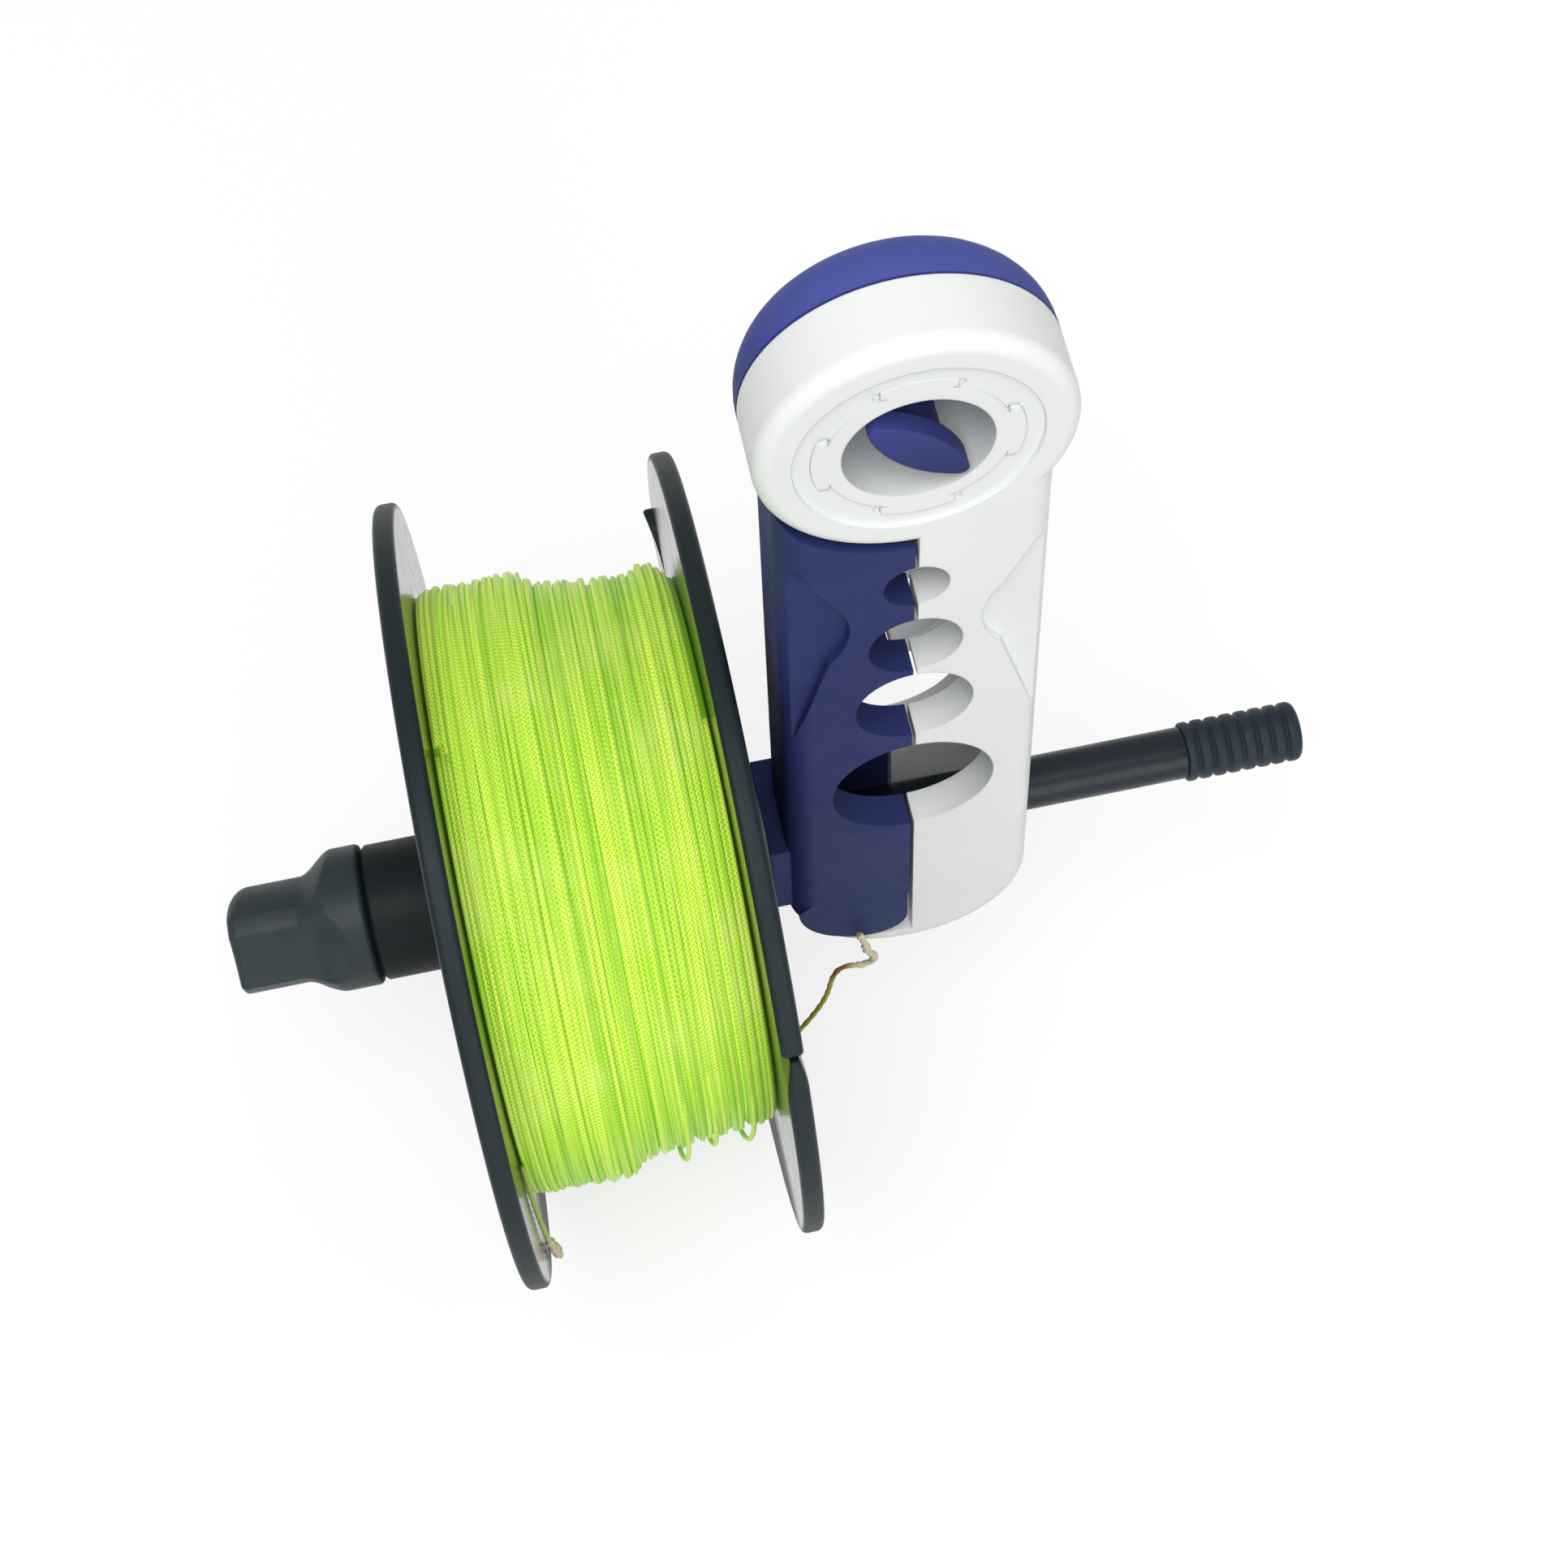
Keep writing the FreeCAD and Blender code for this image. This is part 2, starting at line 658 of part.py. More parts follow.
def make_white_jaw():
    """Jaw that swings open: front head disc, C-shaped shell, spindle slot and the closed rounded end."""
    body = new_body("white_jaw")
    end_angle = math.radians(212.5)
    parting_x = s.foot_half * math.cos(end_angle)
    parting_z = -end_drop + s.foot_half * math.sin(end_angle)
    parting_top = -(corner_drop - 0.2 + s.end_gap)
    outline = new_sketch(body, "white_outline")
    draw_loop(
        outline,
        [
            (half_gap, s.pivot_height),
            (half_gap, parting_top),
            (parting_x, parting_z),
            (0.0, -(end_drop + s.foot_half), s.foot_half, 1),
            (s.foot_half, -end_drop, s.foot_half, 1),
            (s.neck_half, neck_height),
            (s.neck_half, s.pivot_height),
        ],
    )
    pad(body, outline, "white_shell", s.body_thick, symmetric=True)

    # hollow between the plates, open at the seam and closed at the lower end
    inner_end = s.foot_half - s.wall_thick
    cavity = new_sketch(body, "white_cavity")
    draw_loop(
        cavity,
        [
            (-half_gap * 4, cavity_top),
            (-half_gap * 4, -corner_drop + 1),
            (inner_end * math.cos(end_angle) - 1, -corner_drop + 1),
            (inner_end * math.cos(end_angle), -end_drop + inner_end * math.sin(end_angle)),
            (0.0, -(end_drop + inner_end), inner_end, 1),
            (inner_end, -end_drop, inner_end, 1),
            (s.neck_half - s.wall_thick, notch_places["small"]),
            (s.neck_half - s.wall_thick, cavity_top),
        ],
    )
    pocket(body, cavity, "white_hollow", inner_half * 2, symmetric=True)
    cut_notches(body)

    def outer_edge(face):
        def wanted(edge):
            middle = edge.CenterOfMass
            low = middle.z < -(end_drop.value + 4.0)
            return abs(middle.y - face) < 1e-3 and (middle.x > s.neck_half.value - 0.9 or low)

        return wanted

    shell = round_edges(body, body.Tip, "white_front_edge", s.front_round, outer_edge(-half_thick.value))
    round_edges(body, shell, "white_back_edge", s.back_round, outer_edge(half_thick.value))
    cut_scoop(body, 1, s.scoop_step)

    # back half makes room for the other jaw's disc
    room = new_sketch(body, "white_disc_room", offset=-half_thick)
    draw_circle(room, 0.0, s.pivot_height, clear_radius)
    back_depth = s.body_thick - s.front_disc_thick + s.disc_gap / 2
    pocket(body, room, "white_disc_clearance", back_depth, flipped=True)
    head_disc(
        body,
        [
            (0.0, front_disc_back),
            (0.0, disc_front),
            (s.head_radius - s.disc_front_round, disc_front),
            (s.head_radius, disc_front + s.disc_front_round, s.disc_front_round, 1),
            (s.head_radius, front_disc_back),
        ],
    )

    # step behind the thin tip of the other jaw, shaped so that the jaw can swing past it
    step = new_sketch(body, "white_tip_room", offset=half_thick)
    side = -(s.foot_half + 2)
    side_drop = root(sweep_radius * sweep_radius - side * side) - s.pivot_height
    middle_drop = root(sweep_radius * sweep_radius - half_gap * half_gap) - s.pivot_height
    draw_loop(
        step,
        [
            (half_gap, -s.spindle_drop),
            (side, -s.spindle_drop),
            (side, -side_drop),
            (half_gap, -middle_drop, sweep_radius, 1),
        ],
    )
    pocket(body, step, "white_tip_step", s.tip_thick + s.disc_gap)

    # slot that lets the wall pass over the spindle
    slot = new_sketch(body, "white_slot", "YZ_Plane", offset=s.foot_half + 5)
    draw_loop(
        slot,
        [
            (-s.slot_half, -(s.spindle_drop - s.slot_above)),
            (-s.slot_half, -(s.spindle_drop + s.slot_below)),
            (s.slot_half, -(s.spindle_drop + s.slot_below)),
            (s.slot_half, -(s.spindle_drop - s.slot_above)),
        ],
    )
    pocket(body, slot, "white_spindle_slot", s.slot_depth + 5)

    # face of the head: shallow recess, seat of the ring and its four tabs, bore of the sleeve
    recess = new_sketch(body, "white_recess", offset=half_thick)
    draw_circle(recess, 0.0, s.pivot_height, s.recess_radius)
    pocket(body, recess, "white_face_recess", s.recess_depth)
    seat = new_sketch(body, "white_ring_seat", offset=-recess_face)
    draw_circle(seat, 0.0, s.pivot_height, s.ring_radius + s.press_gap)
    pocket(body, seat, "white_ring_pocket", s.ring_thick - s.face_gap)
    for index, (dx, dz) in enumerate(((1, 0), (0, 1), (-1, 0), (0, -1))):
        tab = new_sketch(body, f"white_tab_seat_{index}", offset=-recess_face)
        draw_loop(tab, tab_outline(dx, dz, s.press_gap))
        pocket(body, tab, f"white_tab_pocket_{index}", s.ring_thick - s.face_gap)
    dimples = new_sketch(body, "white_dimple_places", offset=-recess_face)
    for quarter in range(4):
        for side in (-1, 1):
            angle = math.radians(90.0 * quarter + SIZES["dimple_angle"] * side)
            across = s.dimple_ring * math.cos(angle)
            up = s.pivot_height + s.dimple_ring * math.sin(angle)
            draw_circle(dimples, across, up, s.dimple_radius)
    pocket(body, dimples, "white_dimples", s.dimple_depth)
    bore = new_sketch(body, "white_sleeve_bore", offset=half_thick)
    draw_circle(bore, 0.0, s.pivot_height, s.sleeve_radius + s.press_gap)
    pocket(body, bore, "white_bore", s.front_disc_thick + 1)
    leg = new_sketch(body, "white_spring_hole", "XZ_Plane", offset=-front_disc_back)
    draw_circle(leg, s.spring_coil, s.pivot_height, s.spring_wire / 2 + s.face_gap)
    pocket(body, leg, "white_spring_leg_hole", s.front_disc_thick / 2, flipped=True)
    return body


def tab_outline(dx, dz, gap):
    """Tab of the hub ring that points along (dx, dz), grown by gap."""
    half = s.tab_width / 2 + gap
    inner = s.sleeve_radius + 0.2
    outer = root((s.tab_radius + gap) * (s.tab_radius + gap) - half * half)
    bow = s.tab_radius + gap
    corners = []
    for reach, across in ((inner, -1), (outer, -1), (outer, 1), (inner, 1)):
        x = reach * dx - half * (across * dz)
        z = s.pivot_height + reach * dz + half * (across * dx)
        corners.append([x, z])
    corners[2] += [bow, 1]
    return [tuple(c) for c in corners]


def make_pivot_hub():
    """Flanged sleeve that is pressed into the white jaw and turns in the blue one."""
    body = new_body("pivot_hub")
    ring_back = recess_face + s.ring_thick - s.face_gap
    ring_front = ring_back - s.ring_thick - s.face_gap / 2
    end = split + s.sleeve_reach
    lip = s.sleeve_radius + s.sleeve_lip
    profile = new_sketch(body, "hub_profile", "XY_Plane", offset=s.pivot_height)
    draw_loop(
        profile,
        [
            (s.sleeve_bore, ring_front),
            (s.ring_radius, ring_front),
            (s.ring_radius, ring_back),
            (s.sleeve_radius, ring_back),
            (s.sleeve_radius, end - 1.2),
            (lip, end - 1.2),
            (s.sleeve_radius - 0.3, end),
            (s.sleeve_bore, end),
        ],
    )
    revolve(body, profile, "hub_sleeve", axis="V_Axis")
    for index, (dx, dz) in enumerate(((1, 0), (0, 1), (-1, 0), (0, -1))):
        tab = new_sketch(body, f"hub_tab_{index}", offset=-ring_front)
        draw_loop(tab, tab_outline(dx, dz, 0.0))
        pad(body, tab, f"hub_tab_pad_{index}", ring_back - ring_front, flipped=True)
    return body


def make_jaw_spring():
    """Torsion spring that closes the jaws, with one leg hooked into each."""
    body = new_body("jaw_spring")
    first = back_disc_face + s.spring_wire / 2 + s.face_gap
    section = new_sketch(body, "jaw_spring_section", "XY_Plane", offset=s.pivot_height)
    bind(section, "AttachmentOffset.Base.y", first)
    draw_circle(section, s.spring_coil, 0.0, s.spring_wire / 2)
    coil = body.newObject("PartDesign::AdditiveHelix", "jaw_spring_coil")
    coil.Profile = section
    coil.ReferenceAxis = (section, ["V_Axis"])
    coil.Mode = "pitch-turns-angle"
    bind(coil, "Pitch", s.spring_pitch)
    coil.Turns = 2
    doc.recompute()
    leg = new_sketch(body, "jaw_spring_leg_section", offset=-first)
    draw_circle(leg, s.spring_coil, s.pivot_height, s.spring_wire / 2)
    pad(body, leg, "jaw_spring_leg", s.front_disc_thick / 3)
    return body


def make_spindle_bush():
    return turned(
        "spindle_bush",
        [
            (-s.boss_reach, s.spindle_radius + s.running_fit),
            (-s.boss_reach, s.bush_flange),
            (-(s.boss_reach - s.bush_flange_thick), s.bush_flange),
            (-(s.boss_reach - s.bush_flange_thick), s.bush_radius),
            (bush_inner, s.bush_radius),
            (bush_inner, s.spindle_radius + s.running_fit),
        ],
    )


def make_thrust_washer():
    return turned(
        "thrust_washer",
        [
            (washer_face, s.spindle_radius + s.running_fit),
            (washer_face, s.washer_radius),
            (-s.boss_reach, s.washer_radius),
            (-s.boss_reach, s.spindle_radius + s.running_fit),
        ],
    )


def make_spindle():
    """Rod through both jaws, with a thread at the knob end and a groove for its clip."""
    clip_start = bush_inner + s.face_gap
    clip_stop = clip_start + s.clip_thick + s.face_gap
    groove = s.spindle_radius - s.clip_groove
    grip_start = s.spindle_reach - s.grip_length
    return turned(
        "spindle",
        [
            (spindle_end, 0.0),
            (spindle_end, s.thread_radius - 0.6),
            (spindle_end + 0.6, s.thread_radius),
            (spindle_end + s.thread_length, s.thread_radius),
            (spindle_end + s.thread_length, s.spindle_radius),
            (clip_start, s.spindle_radius),
            (clip_start, groove),
            (clip_stop, groove),
            (clip_stop, s.spindle_radius),
            (grip_start, s.spindle_radius),
            (grip_start, s.spindle_radius - s.clip_groove * 2),
            (s.spindle_reach, s.spindle_radius - s.clip_groove * 2),
            (s.spindle_reach, 0.0),
        ],
    )


def make_rubber_grip():
    """Ribbed rubber sleeve with a closed end, stretched over the free end of the spindle."""
    start = s.spindle_reach - s.grip_length
    stop = s.spindle_reach + s.grip_cap
    inside = s.spindle_radius - s.clip_groove * 2
    ribs = 8
    pitch = (s.grip_length + s.grip_cap - 1.2) / ribs
    valley = s.grip_radius - s.grip_rib
    profile = [(start, inside), (start, valley)]
    for rib in range(ribs):
        left = start + 0.4 + pitch * rib
        profile.append((left, valley))
        profile.append((left + pitch * 0.2, s.grip_radius))
        profile.append((left + pitch * 0.65, s.grip_radius))
        profile.append((left + pitch * 0.85, valley))
    profile += [
        (stop - 0.4, valley),
        (stop, valley - 0.5),
        (stop, 0.0),
        (s.spindle_reach, 0.0),
        (s.spindle_reach, inside),
    ]
    return turned("rubber_grip", profile)


def make_spindle_clip():
    """Snap ring with a mouth, seated in the groove of the spindle."""
    start = bush_inner + s.face_gap * 1.5
    groove = s.spindle_radius - s.clip_groove
    body = turned(
        "spindle_clip",
        [
            (start, groove + s.press_gap),
            (start, s.clip_radius),
            (start + s.clip_thick, s.clip_radius),
            (start + s.clip_thick, groove + s.press_gap),
        ],
    )
    mouth = new_sketch(body, "spindle_clip_mouth", "YZ_Plane", offset=start + s.clip_thick * 2)
    draw_loop(
        mouth,
        [
            (-groove * 0.8, 0.0),
            (-groove * 0.8, s.clip_radius * 1.5),
            (groove * 0.8, s.clip_radius * 1.5),
            (groove * 0.8, 0.0),
        ],
    )
    pocket(body, mouth, "spindle_clip_opening", s.clip_thick * 3)
    return body


def flange_profile(inner, side):
    """Half section of a flange: conical seat, flat web, raised rim with rounded lips."""
    outer = inner + s.flange_thick * side
    web = inner + s.flange_web * side
    rim = s.flange_radius - s.flange_rim
    return [
        (inner, s.seat_radius),
        (web, s.seat_radius + s.flange_web),
        (web, s.core_radius + 1),
        (web, rim - 1),
        (outer, rim),
        (outer, s.flange_radius - 0.8),
        (outer - 0.8 * side, s.flange_radius),
        (inner + 0.6 * side, s.flange_radius),
        (inner, s.flange_radius - 0.6),
        (inner, s.core_radius),
    ]


def make_flange_left():
    return turned("spool_flange_left", flange_profile(flange_inner_left, -1))


def make_flange_right():
    """Flange with the slanted slit that holds the free end of the line."""
    body = turned("spool_flange_right", flange_profile(flange_inner_right, 1))
    slit = new_sketch(body, "line_slit_outline", "YZ_Plane", offset=flange_outer_right + 1)
    angle = math.radians(SIZES["slit_angle"])
    across_y, across_z = math.cos(angle), -math.sin(angle)
    along_y, along_z = math.sin(angle), math.cos(angle)
    corners = []
    for reach, shift in ((-1.0, -0.5), (1.0, -0.5), (1.0, 0.5), (-1.0, 0.5)):
        radial = s.flange_radius + (1.0 if reach > 0 else 0.0)
        if reach < 0:
            radial = s.flange_radius - s.slit_length
        lean = shift if reach > 0 else shift + 1.6
        y = -(radial * along_y) + s.slit_width * (across_y * lean)
        z = -(radial * along_z) + s.slit_width * (across_z * lean)
        corners.append((y, z))
    draw_loop(slit, corners)
    pocket(body, slit, "line_slit", s.flange_thick + 2)
    mouth = new_sketch(body, "line_slit_mouth_outline", "YZ_Plane", offset=flange_outer_right + 1)
    rim = s.flange_radius
    half = s.slit_width / 2
    corners = []
    for radial, shift in (
        (rim + 1, -(half + s.slit_mouth * 1.6)),
        (rim - s.slit_mouth, -half),
        (rim - s.slit_mouth, half),
        (rim, half + s.slit_lead),
        (rim + 1, half + s.slit_lead),
    ):
        y = -(radial * along_y) + shift * across_y
        z = -(radial * along_z) + shift * across_z
        corners.append((y, z))
    draw_loop(mouth, corners)
    pocket(body, mouth, "line_slit_mouth", s.flange_thick + 2)
    return body


def make_spool_core():
    """Tube that the line is wound on, between the flanges."""
    return turned(
        "spool_core",
        [
            (flange_inner_left, s.core_radius - s.core_wall),
            (flange_inner_left, s.core_radius),
            (flange_inner_right, s.core_radius),
            (flange_inner_right, s.core_radius - s.core_wall),
        ],
    )


def make_line_winding():
    """The wound line as one body, thicker on the knob side."""
    left = flange_inner_left + s.line_gap
    right = flange_inner_right - s.line_gap
    inner = s.core_radius + s.line_gap
    middle = (s.line_left + s.line_right) / 2
    width = s.spool_width
    return turned(
        "line_winding",
        [
            (left, inner),
            (left, s.line_left - 0.4),
            (left + width * 0.06, s.line_left),
            (left + width * 0.3, s.line_left - 0.2),
            (left + width * 0.55, middle + 0.3),
            (left + width * 0.8, middle - 0.6),
            (right, s.line_right),
            (right, inner),
        ],
    )


def make_inner_cone():
    """Cone that centres the spool on the clamp side."""
    nose = flange_inner_right - (s.cone_length - s.flange_web)
    bore = s.spindle_radius + s.running_fit
    seat = s.seat_radius - s.press_gap
    big = seat + s.flange_thick
    small = seat - (flange_inner_right - nose)
    return turned(
        "inner_cone",
        [
            (nose, bore),
            (nose, small),
            (flange_outer_right, big),
            (cone_face, big),
            (cone_face, bore),
        ],
    )


def make_outer_cup():
    """Tube on the knob side that ends in a centring cone and holds the drag spring."""
    bore = s.spindle_radius + s.running_fit
    hollow = s.cup_radius - s.cup_wall
    web = web_outer_left
    seat = s.seat_radius - s.press_gap
    nose = flange_inner_left + (s.cone_length - s.flange_web)
    small = seat - (nose - flange_inner_left)
    flare = web - s.face_gap
    big = seat + (flange_inner_left - flare)
    floor = flare - s.cup_floor
    return turned(
        "outer_cup",
        [
            (nose, bore),
            (floor, bore),
            (floor, hollow),
            (cup_end, hollow),
            (cup_end, s.cup_radius - 0.3),
            (cup_end + 0.3, s.cup_radius),
            (flare - 1.2, s.cup_radius),
            (flare - 0.6, big),
            (flare, big),
            (nose, small),
        ],
    )


def make_drag_spring():
    """Compression spring inside the cup."""
    body = new_body("drag_spring")
    floor = web_outer_left - s.face_gap - s.cup_floor
    room = floor - (cup_end + s.slip_washer_depth + s.slip_washer_thick)
    first = floor - s.drag_wire / 2 - s.face_gap
    section = new_sketch(body, "drag_spring_section", "XY_Plane")
    draw_circle(section, first, s.drag_coil, s.drag_wire / 2)
    coil = body.newObject("PartDesign::AdditiveHelix", "drag_spring_coil")
    coil.Profile = section
    coil.ReferenceAxis = (section, ["H_Axis"])
    coil.Mode = "height-turns-angle"
    bind(coil, "Height", room - s.drag_wire - s.face_gap * 2)
    coil.Turns = 4
    coil.Reversed = True
    doc.recompute()
    return on_spindle(body)


def make_spring_washer():
    """Flat washer in the mouth of the cup; the knob pushes on it."""
    start = cup_end + s.slip_washer_depth
    return turned(
        "spring_washer",
        [
            (start, s.thread_radius + s.running_fit * 4),
            (start, s.slip_washer_radius),
            (start + s.slip_washer_thick, s.slip_washer_radius),
            (start + s.slip_washer_thick, s.thread_radius + s.running_fit * 4),
        ],
    )


def make_tension_knob():
    """Knob with a round base and three scooped flanks, and a spigot that reaches into the cup."""
    base = knob_face
    end = knob_face - s.knob_length
    spigot = s.slip_washer_radius - 0.6
    spigot_end = cup_end + s.slip_washer_depth - s.face_gap
    shoulder = base - s.knob_base_length
    insert_end = base - s.insert_length
    bore_end = spindle_end - 0.9
    body = turned(
        "tension_knob",
        [
            (end, 0.0),
            (end, s.knob_grip_radius - s.knob_round),
            (end + s.knob_round, s.knob_grip_radius),
            (shoulder - 1.5, s.knob_grip_radius),
            (shoulder, s.knob_base_radius),
            (base - 0.5, s.knob_base_radius),
            (base, s.knob_base_radius - 0.5),
            (base, spigot),
            (spigot_end, spigot),
            (spigot_end, s.insert_radius),
            (insert_end, s.insert_radius),
            (insert_end, s.thread_radius + s.running_fit * 4),
            (bore_end, s.thread_radius + s.running_fit * 4),
            (bore_end, 0.0),
        ],
    )
    # one scooped flank: a wide round trough that fades out at the base, repeated three times
    trough = new_sketch(body, "knob_trough_outline", "YZ_Plane", offset=end - 1)
    centre = s.knob_grip_radius + s.knob_scoop_radius - s.knob_scoop_depth
    angle = math.radians(23.0)
    draw_circle(trough, -centre * math.sin(angle), centre * math.cos(angle), s.knob_scoop_radius)
    cut = pocket(
        body, trough, "knob_trough", s.knob_length - s.knob_base_length - 0.5, flipped=True
    )
    axis_sketch = new_sketch(body, "knob_axis", "XY_Plane")
    draw_circle(axis_sketch, 0.0, 0.0, s.thread_radius)
    polar(body, cut, "knob_lobes", axis_sketch, "H_Axis", 3)
    return body


def make_knob_insert():
    start = knob_face - s.insert_length
    stop = cup_end + s.slip_washer_depth - s.face_gap
    return turned(
        "knob_insert",
        [
            (start, s.thread_radius + s.running_fit),
            (start, s.insert_radius - s.press_gap),
            (stop, s.insert_radius - s.press_gap),
            (stop, s.thread_radius + s.running_fit),
        ],
    )


def tube_along(name, points, radius):
    """Round line end along straight runs joined by tangent arcs."""
    edges = []
    start = points[0]
    for before, corner, after in zip(points, points[1:], points[2:]):
        into, out = corner - before, after - corner
        turn = into.getAngle(out)
        shorter = min(into.Length, out.Length)
        reach = 0.45 * shorter
        bend = reach / math.tan(turn / 2)
        print(f"{name}: bend of {bend:.2f} mm")
        into.normalize()
        out.normalize()
        first, last = corner - into * reach, corner + out * reach
        towards = (out - into).normalize()
        middle = corner + towards * (bend / math.cos(turn / 2) - bend)
        edges.append(Part.LineSegment(start, first).toShape())
        edges.append(Part.Arc(first, middle, last).toShape())
        start = last
    edges.append(Part.LineSegment(start, points[-1]).toShape())
    path = Part.Wire(edges)
    circle = Part.Circle(points[0], points[1] - points[0], radius).toShape()
    tube = path.makePipeShell([Part.Wire([circle])], True, True)
    expected = math.pi * radius**2 * path.Length
    if abs(tube.Volume - expected) > 0.02 * expected:
        raise RuntimeError(f"{name}: volume {tube.Volume:.3f}, expected {expected:.3f}")
    feature = doc.addObject("Part::Feature", name)
    feature.Label = name
    feature.Shape = tube
    bind(feature, "Placement.Base.z", -s.spindle_drop)
    return feature


# Routes of the two loose ends as (x, y, height above the spindle).
RIGHT_END = [
    (-22.2, -11.0, -34.8),
    (-22.3, -12.2, -39.2),
    (-21.9, -12.6, -42.2),
    (-18.6, -12.5, -42.2),
    (-18.2, -11.6, -38.0),
    (-16.6, -10.8, -33.0),
    (-13.2, -10.2, -27.0),
    (-10.0, -10.0, -20.6),
    (-6.6, -10.1, -19.4),
    (-7.2, -10.2, -12.9),
]
LEFT_END = [
    (-51.4, -37.2, 4.2),
    (-51.4, -38.5, -2.5),
    (-51.3, -38.9, -10.0),
    (-51.1, -38.6, -18.5),
    (-50.6, -37.5, -26.5),
]


def make_line_end_right():
    """Loose end that leaves the spool through the slit of the right flange."""
    return tube_along("line_end_right", [Vector(*p) for p in RIGHT_END], SIZES["line_radius"])


def make_line_end_left():
    """Short loose end inside the left flange."""
    return tube_along("line_end_left", [Vector(*p) for p in LEFT_END], SIZES["line_radius"])


PIECES = [
    make_blue_jaw,
    make_white_jaw,
    make_pivot_hub,
    make_jaw_spring,
    make_spindle_bush,
    make_thrust_washer,
    make_spindle,
    make_rubber_grip,
    make_spindle_clip,
    make_flange_left,
    make_flange_right,
    make_spool_core,
    make_line_winding,
    make_line_end_right,
    make_line_end_left,
    make_inner_cone,
    make_outer_cup,
    make_drag_spring,
    make_spring_washer,
    make_tension_knob,
    make_knob_insert,
]

pieces = []
for make in PIECES:
    pieces.append(make())
doc.recompute()

for item in doc.Objects:
    if "Invalid" in item.State or "Error" in item.State:
        raise RuntimeError(f"{item.Label} failed: {item.State}")

os.makedirs("parts", exist_ok=True)
for piece in pieces:
    shape = piece.Shape
    if shape.isNull() or not shape.isValid() or len(shape.Solids) != 1:
        raise RuntimeError(f"{piece.Label}: bad shape, {len(shape.Solids)} solids")
    shape.exportStep(f"parts/{piece.Label}.step")
    print(piece.Label, round(shape.Volume, 2))
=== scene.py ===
import logging
from dataclasses import dataclass, field
from enum import Enum
from typing import ClassVar

import bpy
import numpy as np
from mathutils import Matrix, Vector


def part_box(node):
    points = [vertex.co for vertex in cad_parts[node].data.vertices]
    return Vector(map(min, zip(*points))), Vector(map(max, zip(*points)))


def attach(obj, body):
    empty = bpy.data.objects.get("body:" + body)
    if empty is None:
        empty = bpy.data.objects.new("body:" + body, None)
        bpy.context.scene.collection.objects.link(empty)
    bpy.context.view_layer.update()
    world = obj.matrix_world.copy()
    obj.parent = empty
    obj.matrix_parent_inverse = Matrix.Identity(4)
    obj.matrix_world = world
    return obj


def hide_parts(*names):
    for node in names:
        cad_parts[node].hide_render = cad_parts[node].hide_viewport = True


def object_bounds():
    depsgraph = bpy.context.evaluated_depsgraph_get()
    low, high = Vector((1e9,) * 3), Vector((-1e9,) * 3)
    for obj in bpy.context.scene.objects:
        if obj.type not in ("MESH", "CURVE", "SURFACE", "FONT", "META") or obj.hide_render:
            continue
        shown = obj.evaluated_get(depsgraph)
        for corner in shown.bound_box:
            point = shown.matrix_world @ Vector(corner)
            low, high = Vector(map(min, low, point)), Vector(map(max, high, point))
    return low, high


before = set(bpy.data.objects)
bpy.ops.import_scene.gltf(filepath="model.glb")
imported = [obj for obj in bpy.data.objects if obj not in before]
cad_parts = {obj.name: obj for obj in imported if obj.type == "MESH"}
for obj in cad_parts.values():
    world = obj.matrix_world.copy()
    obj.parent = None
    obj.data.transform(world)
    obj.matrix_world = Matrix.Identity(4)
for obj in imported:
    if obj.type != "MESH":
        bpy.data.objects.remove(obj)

CAD_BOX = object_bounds()
MM = 0.001
TURN = 2.0 * np.pi
LOG = logging.getLogger("line_winder")
Socket = bpy.types.NodeSocket
Piece = bpy.types.Object


def low_corner(node: str) -> np.ndarray:
    """Lowest corner of a node's box."""
    return np.array(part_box(node)[0])


def high_corner(node: str) -> np.ndarray:
    """Highest corner of a node's box."""
    return np.array(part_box(node)[1])


POLE = 0.0001 * MM
SPINDLE_HEIGHT = 0.5 * (low_corner("spindle")[2] + high_corner("spindle")[2])


# ---------------------------------------------------------------- curves and angles


def quarter_round(share: np.ndarray) -> np.ndarray:
    """Fall of a quarter round: 0 where the share is 0 or less, 1 with an upright tangent where it is 1."""
    return 1.0 - np.sqrt(1.0 - np.clip(share, 0.0, 1.0) ** 2)


def smooth_step(share: np.ndarray) -> np.ndarray:
    """Share held between 0 and 1, with a level start and end."""
    held = np.clip(share, 0.0, 1.0)
    return held * held * (3.0 - 2.0 * held)


def bell(distance: np.ndarray) -> np.ndarray:
    """Bell curve: e to the power of minus the distance squared."""
    return np.exp(-(distance**2))


def ramp(value: np.ndarray, start: float, end: float) -> np.ndarray:
    """Share of the way from start to end, held between 0 and 1."""
    return np.clip((value - start) / (end - start), 0.0, 1.0)


def turn_from(angle: np.ndarray, middle: float) -> np.ndarray:
    """Signed angle from the middle, between minus and plus half a turn."""
    return (angle - middle + np.pi) % TURN - np.pi


def round_spindle(x: np.ndarray, angle: np.ndarray, radius: np.ndarray) -> tuple[np.ndarray, np.ndarray]:
    """Path round the spindle: the point at angle a is (x, r sin a, r cos a) from the spindle's height.

    Args:
        x: array (n,) of places along the spindle in metres.
        angle: array (n,) of angles.
        radius: array (n,) of distances from the spindle in metres.

    Returns:
        The path, array (n, 3), and the outward direction at each of its points.
    """
    outward = np.stack([np.zeros(x.size), np.sin(angle), np.cos(angle)], axis=1)
    path = outward * radius[:, None]
    path[:, 0] = x
    path[:, 2] += SPINDLE_HEIGHT
    return path, outward


# ---------------------------------------------------------------- mesh tools


